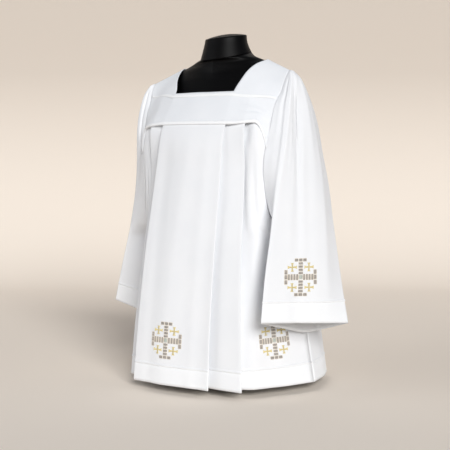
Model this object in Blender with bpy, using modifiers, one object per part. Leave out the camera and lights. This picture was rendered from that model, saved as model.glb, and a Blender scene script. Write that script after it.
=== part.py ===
"""Pleated white surplice with a square yoke, standing on a plain black dress form.

The figure faces -Y and +Z is up, with the floor at z = 0.  The tables below are in
centimetres, with heights measured from the hem of the body.  The left side of the
garment is at +X.  Cloth is a wall lofted through plan sections, one section a row.
"""
import math

import bmesh
import bpy
import numpy as np
from mathutils import Vector

CM = 0.01
HEM_ABOVE_FLOOR = 2.0
CLOTH = 0.14
FOLD_RADIUS = 0.14
TUCK_RISE = 0.055
TAPE_THICK = 0.08
TAPE_GAP = 0.035
TAPE_SHORT = 0.7
SHARP_ANGLE = 50.0
SLANT = 0.35

YOKE_DROP = 6.9
YOKE_DROP_FROM = 16.9
YOKE_DROP_TO = 20.0
YOKE_DROP_POWER = 2.4
YOKE_BOTTOM = 65.5
YOKE_SKEW = 0.04
UNDERLAP = 0.8
FADE_OUT = 50.0

UNDERARM = 36.0
SEAM_STEP = 0.8
ARMHOLE_STEP = 0.1
CAP_ROWS = (0.4, 0.8)
CAP_OFF = 0.13
CORNER_PULL = 0.8
CUFF = 16.5

BODY_TUCK = 4.75
SLEEVE_TUCK = 21.6
TUCK_HALF = 0.35

# Yoke, front and back.  Rows run from the shoulder ridge down to the lower edge; row 4
# is level with the neckline's straight edge.  neck_ is the side edge of the square
# opening and its line continued below, arm_ is the armhole end.
YOKE_COLUMNS = ("row", "neck_x", "neck_y", "neck_z", "arm_x", "arm_y", "arm_z", "centre_y")
YOKE_FRONT = (
    (0, 13.6, -0.5, 83.3, 21.8, -3.4, 79.3, -0.5),
    (1, 13.2, -1.9, 82.6, 21.7, -4.4, 78.3, -1.9),
    (2, 12.3, -4.0, 81.1, 21.5, -5.6, 76.2, -4.0),
    (3, 10.9, -7.4, 78.2, 21.1, -6.9, 73.1, -7.6),
    (4, 9.4, -10.5, 74.4, 20.6, -8.8, 70.1, -11.0),
    (5, 9.6, -13.2, 70.0, 20.3, -10.4, 65.4, -13.8),
    (6, 10.0, -15.5, 65.5, 20.0, -12.1, 58.6, -16.1),
)
YOKE_BACK = (
    (0, 13.6, -0.4, 83.3, 21.8, -3.3, 79.3, -0.4),
    (1, 13.4, 1.8, 83.1, 21.8, -1.6, 78.7, 1.8),
    (2, 12.9, 4.2, 82.6, 21.7, 0.6, 77.2, 4.3),
    (3, 12.1, 6.6, 81.6, 21.4, 2.7, 74.8, 6.9),
    (4, 11.3, 8.6, 80.2, 21.0, 5.0, 71.6, 9.0),
    (5, 10.6, 11.4, 73.4, 20.5, 8.2, 66.0, 11.9),
    (6, 10.4, 12.6, 65.5, 20.0, 10.2, 58.6, 13.2),
)
NECK_ROW = 4
UPPER_TAPE_ROWS = (4.14, 4.29)
LOWER_TAPE_ROWS = (5.85, 6)
BACK_TAPE_ROWS = (5.91, 6)
YOKE_ACROSS = (-2, -1.9, -1.8, -1.6, -1.4, -1.2, -1, -0.66, -0.33, 0,
               0.33, 0.66, 1, 1.2, 1.4, 1.6, 1.8, 1.9, 2)
FRONT_ROWS = (0, 0.5, 1, 1.5, 2, 3, 4) + UPPER_TAPE_ROWS + (5, 5.5) + LOWER_TAPE_ROWS
BACK_ROWS = (0, 0.5, 1, 1.5, 2, 3, 4, 4.5, 5, 5.5) + BACK_TAPE_ROWS

# Side seam, and the line above it that the side of each body panel turns towards.
SIDE_COLUMNS = ("z", "x", "y")
SIDE = (
    (66.4, 21.6, -2.6),
    (54.0, 21.9, -1.6),
    (50.0, 21.9, -1.2),
    (41.0, 22.3, -0.7),
    (26.0, 23.5, -0.7),
    (11.6, 25.7, -1.2),
    (0.0, 28.3, -2.4),
)

# Under the yoke the armhole leaves each panel at a share of the way from the second
# pleat to the side seam; sleeve_off is how far the sleeve's edge stands off it: edge to
# edge at the top, lying on it under the arm.
EDGE_COLUMNS = ("z", "share", "sleeve_off")
EDGE = (
    (66.4, 0.44, 0.10),
    (62.0, 0.455, 0.10),
    (58.0, 0.46, 0.12),
    (54.0, 0.47, 0.14),
    (50.0, 0.50, 0.16),
    (46.0, 0.55, 0.20),
    (42.0, 0.63, 0.24),
    (39.0, 0.76, 0.28),
    (37.0, 0.92, 0.32),
    (36.0, 0.995, 0.33),
    (0.0, 0.995, 0.33),
)

# Pleats of one body panel.  fold is the outer edge of a knife pleat, back is the hidden
# edge that its cloth returns to, side is the corner that the last stretch bends round.
# tuck_x and tuck_y draw the second pleat in on the right-hand side.
PLEAT_COLUMNS = ("z", "centre_y", "fold1_x", "fold1_y", "back1_x", "back1_y", "fold2_x",
                 "fold2_y", "back2_x", "back2_y", "side_x", "side_y", "tuck_x", "tuck_y")
PLEATS_FRONT = (
    (66.4, -15.42, 9.9, -14.75, 7.2, -14.5, 15.0, -13.0, 12.3, -12.6, 22.3, -12.9, 0.0, 0.0),
    (64.0, -16.3, 9.9, -15.7, 7.2, -15.3, 15.1, -13.8, 12.4, -13.3, 22.2, -14.2, 0.2, 0.2),
    (54.0, -18.4, 10.2, -18.0, 7.3, -17.3, 15.6, -15.4, 12.7, -14.4, 21.9, -16.6, 1.0, 1.0),
    (50.0, -19.1, 10.3, -18.7, 7.3, -17.9, 15.8, -15.9, 12.8, -14.9, 21.9, -17.0, 1.2, 1.3),
    (31.0, -22.2, 10.8, -22.0, 7.2, -20.8, 17.2, -19.6, 13.8, -18.4, 21.4, -17.8, 1.8, 2.4),
    (12.0, -24.6, 11.2, -24.5, 7.1, -22.8, 18.6, -21.9, 15.0, -20.2, 21.0, -18.8, 2.1, 2.7),
    (0.0, -25.6, 11.5, -25.5, 7.0, -23.3, 19.4, -22.8, 15.6, -20.5, 21.2, -19.0, 2.4, 2.8),
)
PLEATS_BACK = (
    (66.4, 12.82, 10.0, 12.2, 7.3, 11.8, 15.0, 11.1, 12.3, 10.6, 22.3, 11.8, 0.0, 0.0),
    (64.0, 13.1, 10.0, 12.5, 7.3, 12.1, 15.1, 11.4, 12.4, 10.9, 22.2, 12.1, 0.0, 0.0),
    (54.0, 14.2, 10.2, 13.7, 7.3, 13.0, 15.6, 12.5, 12.7, 11.8, 21.7, 13.2, 0.0, 0.0),
    (50.0, 14.6, 10.3, 14.1, 7.3, 13.3, 15.8, 12.9, 12.8, 12.1, 21.7, 13.4, 0.0, 0.0),
    (31.0, 16.8, 10.8, 16.6, 7.2, 15.3, 17.4, 14.8, 14.0, 13.6, 22.6, 13.6, 0.3, 0.3),
    (12.0, 19.4, 11.2, 19.2, 7.1, 17.5, 19.2, 16.8, 15.6, 15.1, 25.0, 13.8, 0.5, 0.5),
    (0.0, 20.8, 11.5, 20.6, 7.0, 18.6, 20.4, 17.8, 16.6, 15.8, 27.0, 13.8, 0.6, 0.6),
)
BODY_LEVELS = (66.4, 65.1, 62.0, 58.0, 54.0, 50.0, 46.0, 42.0, 39.0, 37.0, UNDERARM, 28.0,
               20.0, 12.0, BODY_TUCK + TUCK_HALF, BODY_TUCK, BODY_TUCK - TUCK_HALF, 0.0)
CENTRE_STEPS = (-0.8, -0.4, 0.0, 0.4, 0.8)
SIDE_STEPS = (0.18, 0.36, 0.54, 0.7, 0.85, 1.0)

# Sleeves.  ridge is the front fold, crease the pressed middle line, outer the widest
# part behind it, rear the back fold; in_front and in_back close the tube on the inside
# below the underarm, and above it the armhole takes their place.
SLEEVE_COLUMNS = ("z", "ridge_x", "ridge_y", "crease_x", "crease_y", "outer_x", "outer_y",
                  "rear_x", "rear_y", "in_front_x", "in_front_y", "in_back_x", "in_back_y")
SLEEVE_LEFT = (
    (78.6, 22.8, -4.8, 23.3, -3.9, 23.2, -2.9, 22.5, -2.2, 21.9, -4.1, 21.9, -1.6),
    (77.6, 23.2, -5.5, 24.1, -4.4, 24.2, -2.6, 23.4, -0.8, 21.8, -4.9, 21.8, 0.0),
    (75.5, 23.4, -6.7, 24.8, -5.1, 25.2, -2.0, 23.8, 1.2, 21.4, -6.0, 21.5, 1.9),
    (72.0, 23.7, -8.1, 25.5, -5.8, 26.2, -1.4, 24.5, 3.4, 20.9, -7.8, 21.1, 4.7),
    (62.0, 24.4, -11.3, 26.9, -7.4, 28.2, -0.8, 25.6, 7.0, 20.0, -10.9, 20.0, 10.5),
    (52.0, 24.6, -14.2, 27.7, -8.7, 30.0, -1.2, 27.6, 7.0, 20.8, -9.0, 20.8, 8.0),
    (41.0, 24.6, -17.4, 28.6, -10.2, 31.6, -2.6, 30.2, 5.0, 23.1, -2.8, 23.2, 0.6),
    (26.0, 24.5, -21.2, 29.6, -12.5, 33.3, -5.0, 33.8, 2.8, 24.8, -3.4, 25.6, 0.6),
    (16.5, 24.4, -22.6, 30.2, -13.3, 34.0, -6.0, 36.8, 0.4, 26.2, -3.8, 27.4, 0.6),
)
SLEEVE_RIGHT = (
    (78.6, 22.8, -4.8, 23.3, -3.9, 23.2, -2.9, 22.5, -2.2, 21.9, -4.1, 21.9, -1.6),
    (77.6, 23.2, -5.4, 24.1, -4.2, 24.2, -2.2, 23.4, -0.6, 21.8, -4.9, 21.8, 0.0),
    (75.5, 23.4, -6.5, 24.9, -4.4, 25.2, -1.2, 23.9, 1.8, 21.4, -6.0, 21.5, 1.9),
    (72.0, 23.4, -8.0, 25.6, -4.6, 26.3, 0.0, 24.7, 4.4, 20.9, -7.8, 21.1, 4.7),
    (62.0, 22.8, -10.2, 26.5, -4.8, 27.9, 1.4, 25.8, 8.4, 20.0, -10.6, 20.0, 10.5),
    (52.0, 24.5, -8.8, 28.1, -3.3, 29.7, 3.0, 28.0, 9.2, 20.8, -8.2, 20.8, 8.0),
    (41.0, 27.6, -7.5, 30.7, -1.5, 31.9, 4.4, 30.6, 9.8, 23.2, -2.0, 23.8, 1.4),
    (26.0, 32.2, -6.8, 34.4, 0.1, 35.2, 6.0, 33.6, 11.2, 25.2, -0.6, 26.4, 2.6),
    (16.5, 34.8, -6.4, 36.8, 1.0, 37.4, 7.2, 35.8, 12.2, 26.6, 0.6, 28.0, 3.6),
)
SLEEVE_LEVELS = (79.1, 78.6, 77.6, 75.5, 72.0, 67.0, 62.0, 58.6, 57.2, 54.0, 50.0, 46.0,
                 42.0, 39.0, 37.0, UNDERARM, 31.0, 26.0, SLEEVE_TUCK + TUCK_HALF, SLEEVE_TUCK,
                 SLEEVE_TUCK - TUCK_HALF, CUFF)
CUFF_TILT = {"seam": -4.1, "ridge": 0.5, "crease": -0.1, "outer": -0.7, "rear": -1.2}
RIDGE_ROUND = 0.9
REAR_BULGE = 1.6
CREASE_DEPTH = 0.18
CREASE_SHARE = 0.05
TURN_SHARES = (0.35, 0.3)
BULGE_SHARE = 0.15

# Dress form: half widths and depths of its rounded sections; power is 2 for an ellipse
# and less for a pointed one.
FORM_COLUMNS = ("z", "half_width", "centre_y", "front", "back", "power", "tilt")
FORM = (
    (21.0, 14.6, -1.0, 9.4, 9.4, 2.3, 0.0),
    (23.0, 15.6, -1.0, 10.2, 10.2, 2.3, 0.0),
    (32.0, 16.2, -1.0, 10.6, 10.6, 2.3, 0.0),
    (43.0, 14.0, -1.0, 9.6, 9.4, 2.3, 0.0),
    (53.0, 15.6, -1.2, 10.6, 9.8, 2.3, 0.0),
    (61.0, 17.0, -1.4, 11.2, 10.4, 2.3, 0.0),
    (66.0, 17.8, -1.6, 11.2, 10.6, 2.2, 0.0),
    (70.0, 18.6, -2.0, 9.4, 10.2, 2.1, 0.0),
    (73.5, 19.4, -2.4, 7.4, 9.2, 2.0, 0.0),
    (76.5, 20.3, -2.8, 5.4, 7.8, 1.8, 0.0),
    (78.4, 20.7, -3.0, 4.2, 7.4, 1.5, 0.0),
    (79.8, 19.6, -2.8, 3.9, 7.6, 1.2, 0.0),
    (81.0, 17.3, -2.1, 4.4, 7.6, 1.1, 0.0),
    (82.2, 14.9, -1.3, 5.2, 7.6, 1.1, 0.0),
    (83.2, 12.7, -0.6, 5.8, 7.6, 1.15, 0.04),
    (84.2, 10.4, -0.4, 6.2, 7.2, 1.35, 0.12),
    (85.0, 8.4, -0.2, 6.6, 7.0, 1.7, 0.22),
    (85.6, 7.0, 0.0, 6.9, 6.9, 2.0, 0.30),
)
FORM_RINGS = (21.0, 23.0, 28.0, 33.0, 38.0, 43.0, 48.0, 53.0, 58.0, 63.0, 67.0, 71.0, 74.5,
              77.0, 78.4, 79.8, 81.0, 82.2, 83.2, 84.2, 85.0, 85.6)
FORM_POINTS = 32
PART_GAP = 0.03

# Neck block: round rings from its tilted seam up to a slightly domed top.
NECK_COLUMNS = ("radius", "z", "tilt", "centre_y")
NECK = (
    (7.0, 85.6 + PART_GAP, 0.30, 0.0),
    (6.4, 88.0, 0.27, -0.1),
    (5.7, 90.4, 0.22, 0.0),
    (5.25, 90.9, 0.22, 0.0),
    (2.9, 91.6, 0.22, 0.0),
)
POST_RADIUS = 1.6
BASE_RADIUS = 15.0
BASE_THICK = 1.2
BASE_EDGE = 0.3
ROUND_SIDES = 48

WHITE = (0.90, 0.91, 0.93, 1.0)
TAPE_WHITE = (0.96, 0.96, 0.97, 1.0)
BLACK = (0.012, 0.012, 0.013, 1.0)
STEEL = (0.05, 0.05, 0.055, 1.0)


def read(columns, rows, key):
    """Return the named columns at a key, on smooth curves that don't overshoot a row."""
    table = np.array(sorted(rows), dtype=float)
    keys = table[:, 0]
    steps = np.diff(table, axis=0) / np.diff(keys)[:, None]
    before, after = np.vstack((steps[:1], steps)), np.vstack((steps, steps[-1:]))
    limit = 3 * np.minimum(abs(before), abs(after))
    slopes = np.clip(np.gradient(table, keys, axis=0), -limit, limit)
    slopes = np.where(before * after > 0, slopes, 0.0)
    key = min(max(key, keys[0]), keys[-1])
    i = min(int(np.searchsorted(keys, key, side="right")) - 1, len(keys) - 2)
    i = max(i, 0)
    span = keys[i + 1] - keys[i]
    t = (key - keys[i]) / span
    low, high = table[i], table[i + 1]
    value = ((2 * t**3 - 3 * t**2 + 1) * low + (t**3 - 2 * t**2 + t) * span * slopes[i]
             + (3 * t**2 - 2 * t**3) * high + (t**3 - t**2) * span * slopes[i + 1])
    return dict(zip(columns, value))


def mix(a, b, t):
    return a + (b - a) * t


def ease(t):
    t = min(max(t, 0.0), 1.0)
    return t * t * (3 - 2 * t)


def yoke_drop(x):
    """How far the yoke's lower edge falls at x, towards the armhole."""
    t = (abs(x) - YOKE_DROP_FROM) / (YOKE_DROP_TO - YOKE_DROP_FROM)
    return YOKE_DROP * min(max(t, 0.0), 1.0)**YOKE_DROP_POWER


def skew(x):
    """The front of the yoke sits a little higher on the right-hand side."""
    return -YOKE_SKEW * x * (1 - ease((abs(x) - 10.0) / 10.0))


def make_material(name, colour, roughness, metallic=0.0):
    material = bpy.data.materials.new(name)
    material.use_nodes = True
    shader = material.node_tree.nodes["Principled BSDF"]
    shader.inputs["Base Color"].default_value = colour
    shader.inputs["Roughness"].default_value = roughness
    shader.inputs["Metallic"].default_value = metallic
    material.diffuse_color = colour
    return material


def make_object(name, bm, material, collection):
    """Finish a bmesh in centimetres above the hem as a named object in metres."""
    bmesh.ops.recalc_face_normals(bm, faces=bm.faces)
    bmesh.ops.translate(bm, verts=bm.verts, vec=(0, 0, HEM_ABOVE_FLOOR))
    bmesh.ops.scale(bm, verts=bm.verts, vec=(CM, CM, CM))
    mesh = bpy.data.meshes.new(name)
    bm.to_mesh(mesh)
    bm.free()
    mesh.materials.append(material)
    mesh.shade_smooth()
    mesh.set_sharp_from_angle(angle=math.radians(SHARP_ANGLE))
    thing = bpy.data.objects.new(name, mesh)
    collection.objects.link(thing)
    return thing


def grid_normals(grid, closes):
    """Outward normals of a grid whose rows go down and whose columns go anticlockwise.

    closes(row) tells whether that row's last point joins its first.  A point where the
    row runs nearly straight down takes the normal beside it.
    """
    rows, cols = len(grid), len(grid[0])
    normals = []
    for r in range(rows):
        line = []
        for c in range(cols):
            left = grid[r][(c - 1) % cols] if closes(r) else grid[r][max(c - 1, 0)]
            right = grid[r][(c + 1) % cols] if closes(r) else grid[r][min(c + 1, cols - 1)]
            down = grid[min(r + 1, rows - 1)][c] - grid[max(r - 1, 0)][c]
            turn = down.normalized().cross((right - left).normalized())
            line.append(turn.normalized() if turn.length > SLANT or not c else line[-1])
        normals.append(line)
    return normals


def wall(name, grid, material, collection, thickness=CLOTH, closed=False, has_cell=None,
         raised=None, lift=0.0):
    """A cloth wall on a grid of points, with its rims closed.

    has_cell(row, column) leaves cells out, raised(row) lifts the outer face of a row,
    and lift moves the whole wall outwards.
    """
    rows, cols = len(grid), len(grid[0])
    normals = grid_normals(grid, lambda r: closed and (not has_cell or has_cell(r, cols - 1)))
    bm = bmesh.new()
    skins = {}

    def corner(r, c, side):
        c %= cols
        if (r, c, side) not in skins:
            reach = lift + side * thickness / 2
            if side > 0 and raised:
                reach += raised(r)
            skins[r, c, side] = bm.verts.new(grid[r][c] + normals[r][c] * reach)
        return skins[r, c, side]

    edges = {}
    for r in range(rows - 1):
        for c in range(cols if closed else cols - 1):
            if has_cell and not has_cell(r, c):
                continue
            ring = [(r, c), (r + 1, c), (r + 1, (c + 1) % cols), (r, (c + 1) % cols)]
            bm.faces.new([corner(*p, 1) for p in ring])
            bm.faces.new([corner(*p, -1) for p in reversed(ring)])
            for a, b in zip(ring, ring[1:] + ring[:1]):
                edges.setdefault(frozenset((a, b)), []).append((a, b))
    for uses in edges.values():
        if len(uses) == 1:
            a, b = uses[0]
            bm.faces.new([corner(*b, 1), corner(*a, 1), corner(*a, -1), corner(*b, -1)])
    return make_object(name, bm, material, collection)


def yoke_point(rows, across, row):
    """A point of the yoke: across is 0 at the centre, 1 at the neck edge, 2 at the arm."""
    line = read(YOKE_COLUMNS, rows, row)
    neck = Vector((line["neck_x"], line["neck_y"], line["neck_z"]))
    arm = Vector((line["arm_x"], line["arm_y"], line["arm_z"]))
    side = abs(across)
    if side <= 1:
        point = Vector((neck.x * side, mix(line["centre_y"], neck.y, side**2), neck.z))
    else:
        point = neck.lerp(arm, side - 1)
        level = neck.z - (neck.z - arm.z) * yoke_drop(point.x) / YOKE_DROP
        point.z = mix(point.z, level, ease((row - NECK_ROW) / 2.0))
    if across < 0:
        point.x = -point.x
    if rows is YOKE_FRONT:
        point.z += skew(point.x) * ease((row - 1) / 3.0)
    return point


def yoke_grid(rows, samples, facing):
    """Grid of yoke points; facing is -1 for the front and 1 for the back."""
    return [[yoke_point(rows, -facing * a, row) for a in YOKE_ACROSS] for row in samples]


def make_yoke(name, rows, samples, facing, material, collection):
    grid = yoke_grid(rows, samples, facing)

    def has_cell(r, c):
        inside = abs(YOKE_ACROSS[c]) <= 1 and abs(YOKE_ACROSS[c + 1]) <= 1
        return not (inside and samples[r] < NECK_ROW)

    wall(name, grid, material, collection, has_cell=has_cell)
    return grid


def make_tape(name, yoke, first, material, collection):
    """A flat tape laid on two rows of a yoke's grid, stopping short of the armholes."""
    normals = grid_normals(yoke, lambda r: False)
    reach = CLOTH / 2 + TAPE_GAP + TAPE_THICK / 2
    lines = [[yoke[r][c] + normals[r][c] * reach for c in range(len(yoke[r]))]
             for r in (first, first + 1)]
    for line in lines:
        line[0] = line[0].lerp(line[1], TAPE_SHORT)
        line[-1] = line[-1].lerp(line[-2], TAPE_SHORT)
    return wall(name, lines, material, collection, thickness=TAPE_THICK)


def half_path(line, side, end, inward, share):
    """Plan points from the first pleat to the panel's edge, for one half of a panel.

    inward is the sign of Y that points into the body, and share is how much of the way
    from the second pleat to the side seam the panel covers.
    """
    tuck = (0.0, 0.0) if side > 0 else (line["tuck_x"], line["tuck_y"] * inward)
    fold1 = Vector((line["fold1_x"], line["fold1_y"]))
    back1 = Vector((line["back1_x"], line["back1_y"]))
    fold2 = Vector((line["fold2_x"] - tuck[0], line["fold2_y"] + tuck[1]))
    back2 = Vector((line["back2_x"] - tuck[0], line["back2_y"] + tuck[1]))
    corner = Vector((line["side_x"] - tuck[0], line["side_y"] + 2 * tuck[1]))
    along = Vector((FOLD_RADIUS, 0))
    in_one = Vector((0, FOLD_RADIUS * inward))
    points = []
    for fold, back in ((fold1, back1), (fold2, back2)):
        points += [fold - along, fold + in_one, fold - along + 2 * in_one]
        points += [back + along, back + in_one, back + along + 2 * in_one]
        if fold is fold1:
            points.append((points[-1] + fold2) / 2)
    start = points[-1]
    one, two = start.lerp(corner, CORNER_PULL), end.lerp(corner, CORNER_PULL)
    for step in SIDE_STEPS:
        t = step * share
        points.append(start * (1 - t)**3 + one * 3 * t * (1 - t)**2
                      + two * 3 * t * t * (1 - t) + end * t**3)
    return points


def panel_line(rows, facing, level, side):
    line = read(PLEAT_COLUMNS, rows, level)
    seam = read(SIDE_COLUMNS, SIDE, level)
    share = read(EDGE_COLUMNS, EDGE, level)["share"]
    return half_path(line, side, Vector((seam["x"], seam["y"])), -facing, share)


def panel_grid(rows, facing):
    """Grid of a pleated body panel; facing is -1 for the front and 1 for the back."""
    grid = []
    for level in BODY_LEVELS:
        line = read(PLEAT_COLUMNS, rows, level)
        left, right = (panel_line(rows, facing, level, side) for side in (1, -1))
        centre = [Vector((line["fold1_x"] * s, mix(line["centre_y"], line["fold1_y"], s * s)))
                  for s in CENTRE_STEPS]
        path = [Vector((-p.x, p.y)) for p in reversed(right)] + centre + left
        if facing > 0:
            path.reverse()
        hang = ease((level - FADE_OUT) / (YOKE_BOTTOM + UNDERLAP - FADE_OUT))
        tilt = skew if facing < 0 else lambda x: 0.0
        grid.append([Vector((p.x, p.y, level + (tilt(p.x) - yoke_drop(p.x)) * hang))
                     for p in path])
    return grid


def armhole(z, side, facing):
    """Plan position of the armhole edge at height z, at +X: the yoke's end, then the panel's."""
    yoke = YOKE_FRONT if facing < 0 else YOKE_BACK
    pleats = PLEATS_FRONT if facing < 0 else PLEATS_BACK
    rows = np.arange(0.0, yoke[-1][0] + ARMHOLE_STEP / 2, ARMHOLE_STEP)
    ends = [yoke_point(yoke, 2, row) for row in rows]
    lowest = ends[-1].z
    edge = [line[-1 if side * facing < 0 else 0] for line in panel_grid(pleats, facing)]
    ends += [p for p in edge if p.z < lowest - SEAM_STEP]
    ends.sort(key=lambda p: p.z)
    heights = [p.z for p in ends]
    return Vector((float(np.interp(z, heights, [abs(p.x) for p in ends])),
                   float(np.interp(z, heights, [p.y for p in ends]))))


def tuck_rise(levels, tuck):
    return lambda row: TUCK_RISE if abs(levels[row] - tuck) < 0.01 else 0.0


def make_panel(name, rows, facing, material, collection):
    grid = panel_grid(rows, facing)
    return wall(name, grid, material, collection, raised=tuck_rise(BODY_LEVELS, BODY_TUCK))


def round_corner(before, corner, after, reach):
    """Four points that round a corner off."""
    start = corner + (before - corner).normalized() * reach
    end = corner + (after - corner).normalized() * reach
    return [start * (1 - t)**2 + corner * 2 * t * (1 - t) + end * t * t
            for t in (0, 1 / 3, 2 / 3, 1)]


def sleeve_section(line, level):
    """Points of one sleeve section, from the front seam round the outside to the back."""
    sag = (UNDERARM - level) / (UNDERARM - CUFF) if level < UNDERARM else 0.0

    def vertex(name, tilt):
        return Vector((line[name + "_x"], line[name + "_y"], level + sag * CUFF_TILT[tilt]))

    front, back = vertex("in_front", "seam"), vertex("in_back", "seam")
    ridge, crease = vertex("ridge", "ridge"), vertex("crease", "crease")
    outer, rear = vertex("outer", "outer"), vertex("rear", "rear")

    def turn_reach(corner, outwards, inwards):
        return min(RIDGE_ROUND, (corner - outwards).length * TURN_SHARES[0],
                   (corner - inwards).length * TURN_SHARES[1])

    across = (outer - crease).normalized()
    inwards = Vector((-across.y, across.x, 0))
    trough = min(CREASE_DEPTH, (ridge - crease).length * CREASE_SHARE)
    bulge = Vector((0, 1, 0)) * min(REAR_BULGE, (rear - back).length * BULGE_SHARE)
    points = [front, front.lerp(ridge, 0.33), front.lerp(ridge, 0.66)]
    points += round_corner(front, ridge, crease, turn_reach(ridge, crease, front))
    points += [ridge.lerp(crease, 0.55), crease + inwards * trough,
               crease.lerp(outer, 0.45), outer]
    points += round_corner(outer, rear, back, turn_reach(rear, outer, back))
    points += [rear.lerp(back, 0.33) + bulge, rear.lerp(back, 0.66) + bulge, back]
    return points


def cap_row(count):
    """The sleeve's top row, which follows the yoke's end over the shoulder ridge."""
    points = []
    for k in range(count):
        t = 2 * k / (count - 1) - 1
        if t < 0:
            end = yoke_point(YOKE_FRONT, 2, -t * CAP_ROWS[0])
        else:
            end = yoke_point(YOKE_BACK, 2, t * CAP_ROWS[1])
        points.append(end + Vector((CAP_OFF, 0, 0)))
    return points


def sleeve_grid(rows, side):
    grid = []
    for level in SLEEVE_LEVELS:
        line = read(SLEEVE_COLUMNS, rows, level)
        if level >= UNDERARM:
            off = read(EDGE_COLUMNS, EDGE, level)["sleeve_off"]
            for name, facing in (("in_front", -1), ("in_back", 1)):
                edge = armhole(level, side, facing)
                line[name + "_x"], line[name + "_y"] = edge.x + off, edge.y
        points = sleeve_section(line, level)
        if level == SLEEVE_LEVELS[0]:
            points = cap_row(len(points))
        if side < 0:
            points = [Vector((-p.x, p.y, p.z)) for p in reversed(points)]
        grid.append(points)
    return grid


def make_sleeve(name, rows, side, material, collection):
    grid = sleeve_grid(rows, side)
    last = len(grid[0]) - 1

    def has_cell(r, c):
        return c != last or SLEEVE_LEVELS[r] <= UNDERARM

    return wall(name, grid, material, collection, closed=True, has_cell=has_cell,
                raised=tuck_rise(SLEEVE_LEVELS, SLEEVE_TUCK))


def form_ring(z):
    line = read(FORM_COLUMNS, FORM, z)
    ring = []
    for k in range(FORM_POINTS):
        angle = 2 * math.pi * k / FORM_POINTS
        c, s = math.cos(angle), math.sin(angle)
        power = 2 / line["power"]
        x = line["half_width"] * math.copysign(abs(c)**power, c)
        depth = line["back"] if s > 0 else line["front"]
        y = line["centre_y"] + depth * math.copysign(abs(s)**power, s)
        ring.append(Vector((x, y, z + line["tilt"] * y)))
    return ring


def solid_of_rings(name, rings, material, collection):
    """A closed solid lofted through rings, bottom to top, with flat ends."""
    bm = bmesh.new()
    loops = [[bm.verts.new(p) for p in ring] for ring in rings]
    count = len(loops[0])
    for low, high in zip(loops, loops[1:]):
        for k in range(count):
            n = (k + 1) % count
            bm.faces.new((low[k], low[n], high[n], high[k]))
    bm.faces.new(list(reversed(loops[0])))
    bm.faces.new(loops[-1])
    return make_object(name, bm, material, collection)


def make_neck(material, collection):
    """The neck block, from its tilted seam up to a slightly domed top."""
    rings = []
    for row in NECK:
        line = dict(zip(NECK_COLUMNS, row))
        ring = []
        for k in range(FORM_POINTS):
            angle = 2 * math.pi * k / FORM_POINTS
            y = line["radius"] * math.sin(angle) + line["centre_y"]
            ring.append(Vector((line["radius"] * math.cos(angle), y,
                                line["z"] + line["tilt"] * y)))
        rings.append(ring)
    return solid_of_rings("form_neck", rings, material, collection)


def make_cylinder(name, radius, low, high, bevel, material, collection):
    """An upright cylinder between two heights above the floor, with eased edges."""
    bpy.ops.mesh.primitive_cylinder_add(vertices=ROUND_SIDES, radius=radius * CM,
                                        depth=(high - low) * CM,
                                        location=(0, 0, (low + high) / 2 * CM))
    thing = bpy.context.active_object
    thing.name = name
    thing.data.name = name
    thing.data.materials.append(material)
    if bevel:
        edge = thing.modifiers.new("eased edge", "BEVEL")
        edge.width = bevel * CM
        edge.segments = 2
        edge.limit_method = "ANGLE"
    for other in list(thing.users_collection):
        other.objects.unlink(thing)
    collection.objects.link(thing)
    thing.data.shade_smooth()
    thing.data.set_sharp_from_angle(angle=math.radians(SHARP_ANGLE))
    return thing


def main():
    for thing in list(bpy.data.objects):
        bpy.data.objects.remove(thing, do_unlink=True)
    collection = bpy.data.collections.new("surplice on dress form")
    bpy.context.scene.collection.children.link(collection)

    cloth = {name: make_material(name, WHITE, 0.8) for name in
             ("yoke cloth", "body cloth", "sleeve cloth")}
    tape = make_material("tape", TAPE_WHITE, 0.6)
    black = make_material("form jersey", BLACK, 0.7)
    steel = make_material("stand steel", STEEL, 0.4, 0.8)

    front = make_yoke("yoke_front", YOKE_FRONT, FRONT_ROWS, -1, cloth["yoke cloth"], collection)
    back = make_yoke("yoke_back", YOKE_BACK, BACK_ROWS, 1, cloth["yoke cloth"], collection)
    make_panel("panel_front", PLEATS_FRONT, -1, cloth["body cloth"], collection)
    make_panel("panel_back", PLEATS_BACK, 1, cloth["body cloth"], collection)
    make_sleeve("sleeve_left", SLEEVE_LEFT, 1, cloth["sleeve cloth"], collection)
    make_sleeve("sleeve_right", SLEEVE_RIGHT, -1, cloth["sleeve cloth"], collection)
    make_tape("yoke_tape_upper", front, FRONT_ROWS.index(UPPER_TAPE_ROWS[0]), tape, collection)
    make_tape("yoke_tape_lower", front, FRONT_ROWS.index(LOWER_TAPE_ROWS[0]), tape, collection)
    make_tape("yoke_tape_back", back, BACK_ROWS.index(BACK_TAPE_ROWS[0]), tape, collection)

    rings = [form_ring(z) for z in FORM_RINGS]
    solid_of_rings("form_torso", rings, black, collection)
    make_neck(black, collection)
    post_top = FORM_RINGS[0] + HEM_ABOVE_FLOOR - PART_GAP
    make_cylinder("form_post", POST_RADIUS, BASE_THICK + PART_GAP, post_top, 0, steel, collection)
    make_cylinder("form_base", BASE_RADIUS, 0, BASE_THICK, BASE_EDGE, steel, collection)


main()
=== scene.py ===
"""Looks for a white pleated surplice on a plain black dress form.

The wearer faces -Y and their left is +X.  The tables are in centimetres, with heights
measured from the hem, which hangs HEM_ABOVE_FLOOR above the floor.
"""
import math

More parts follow.
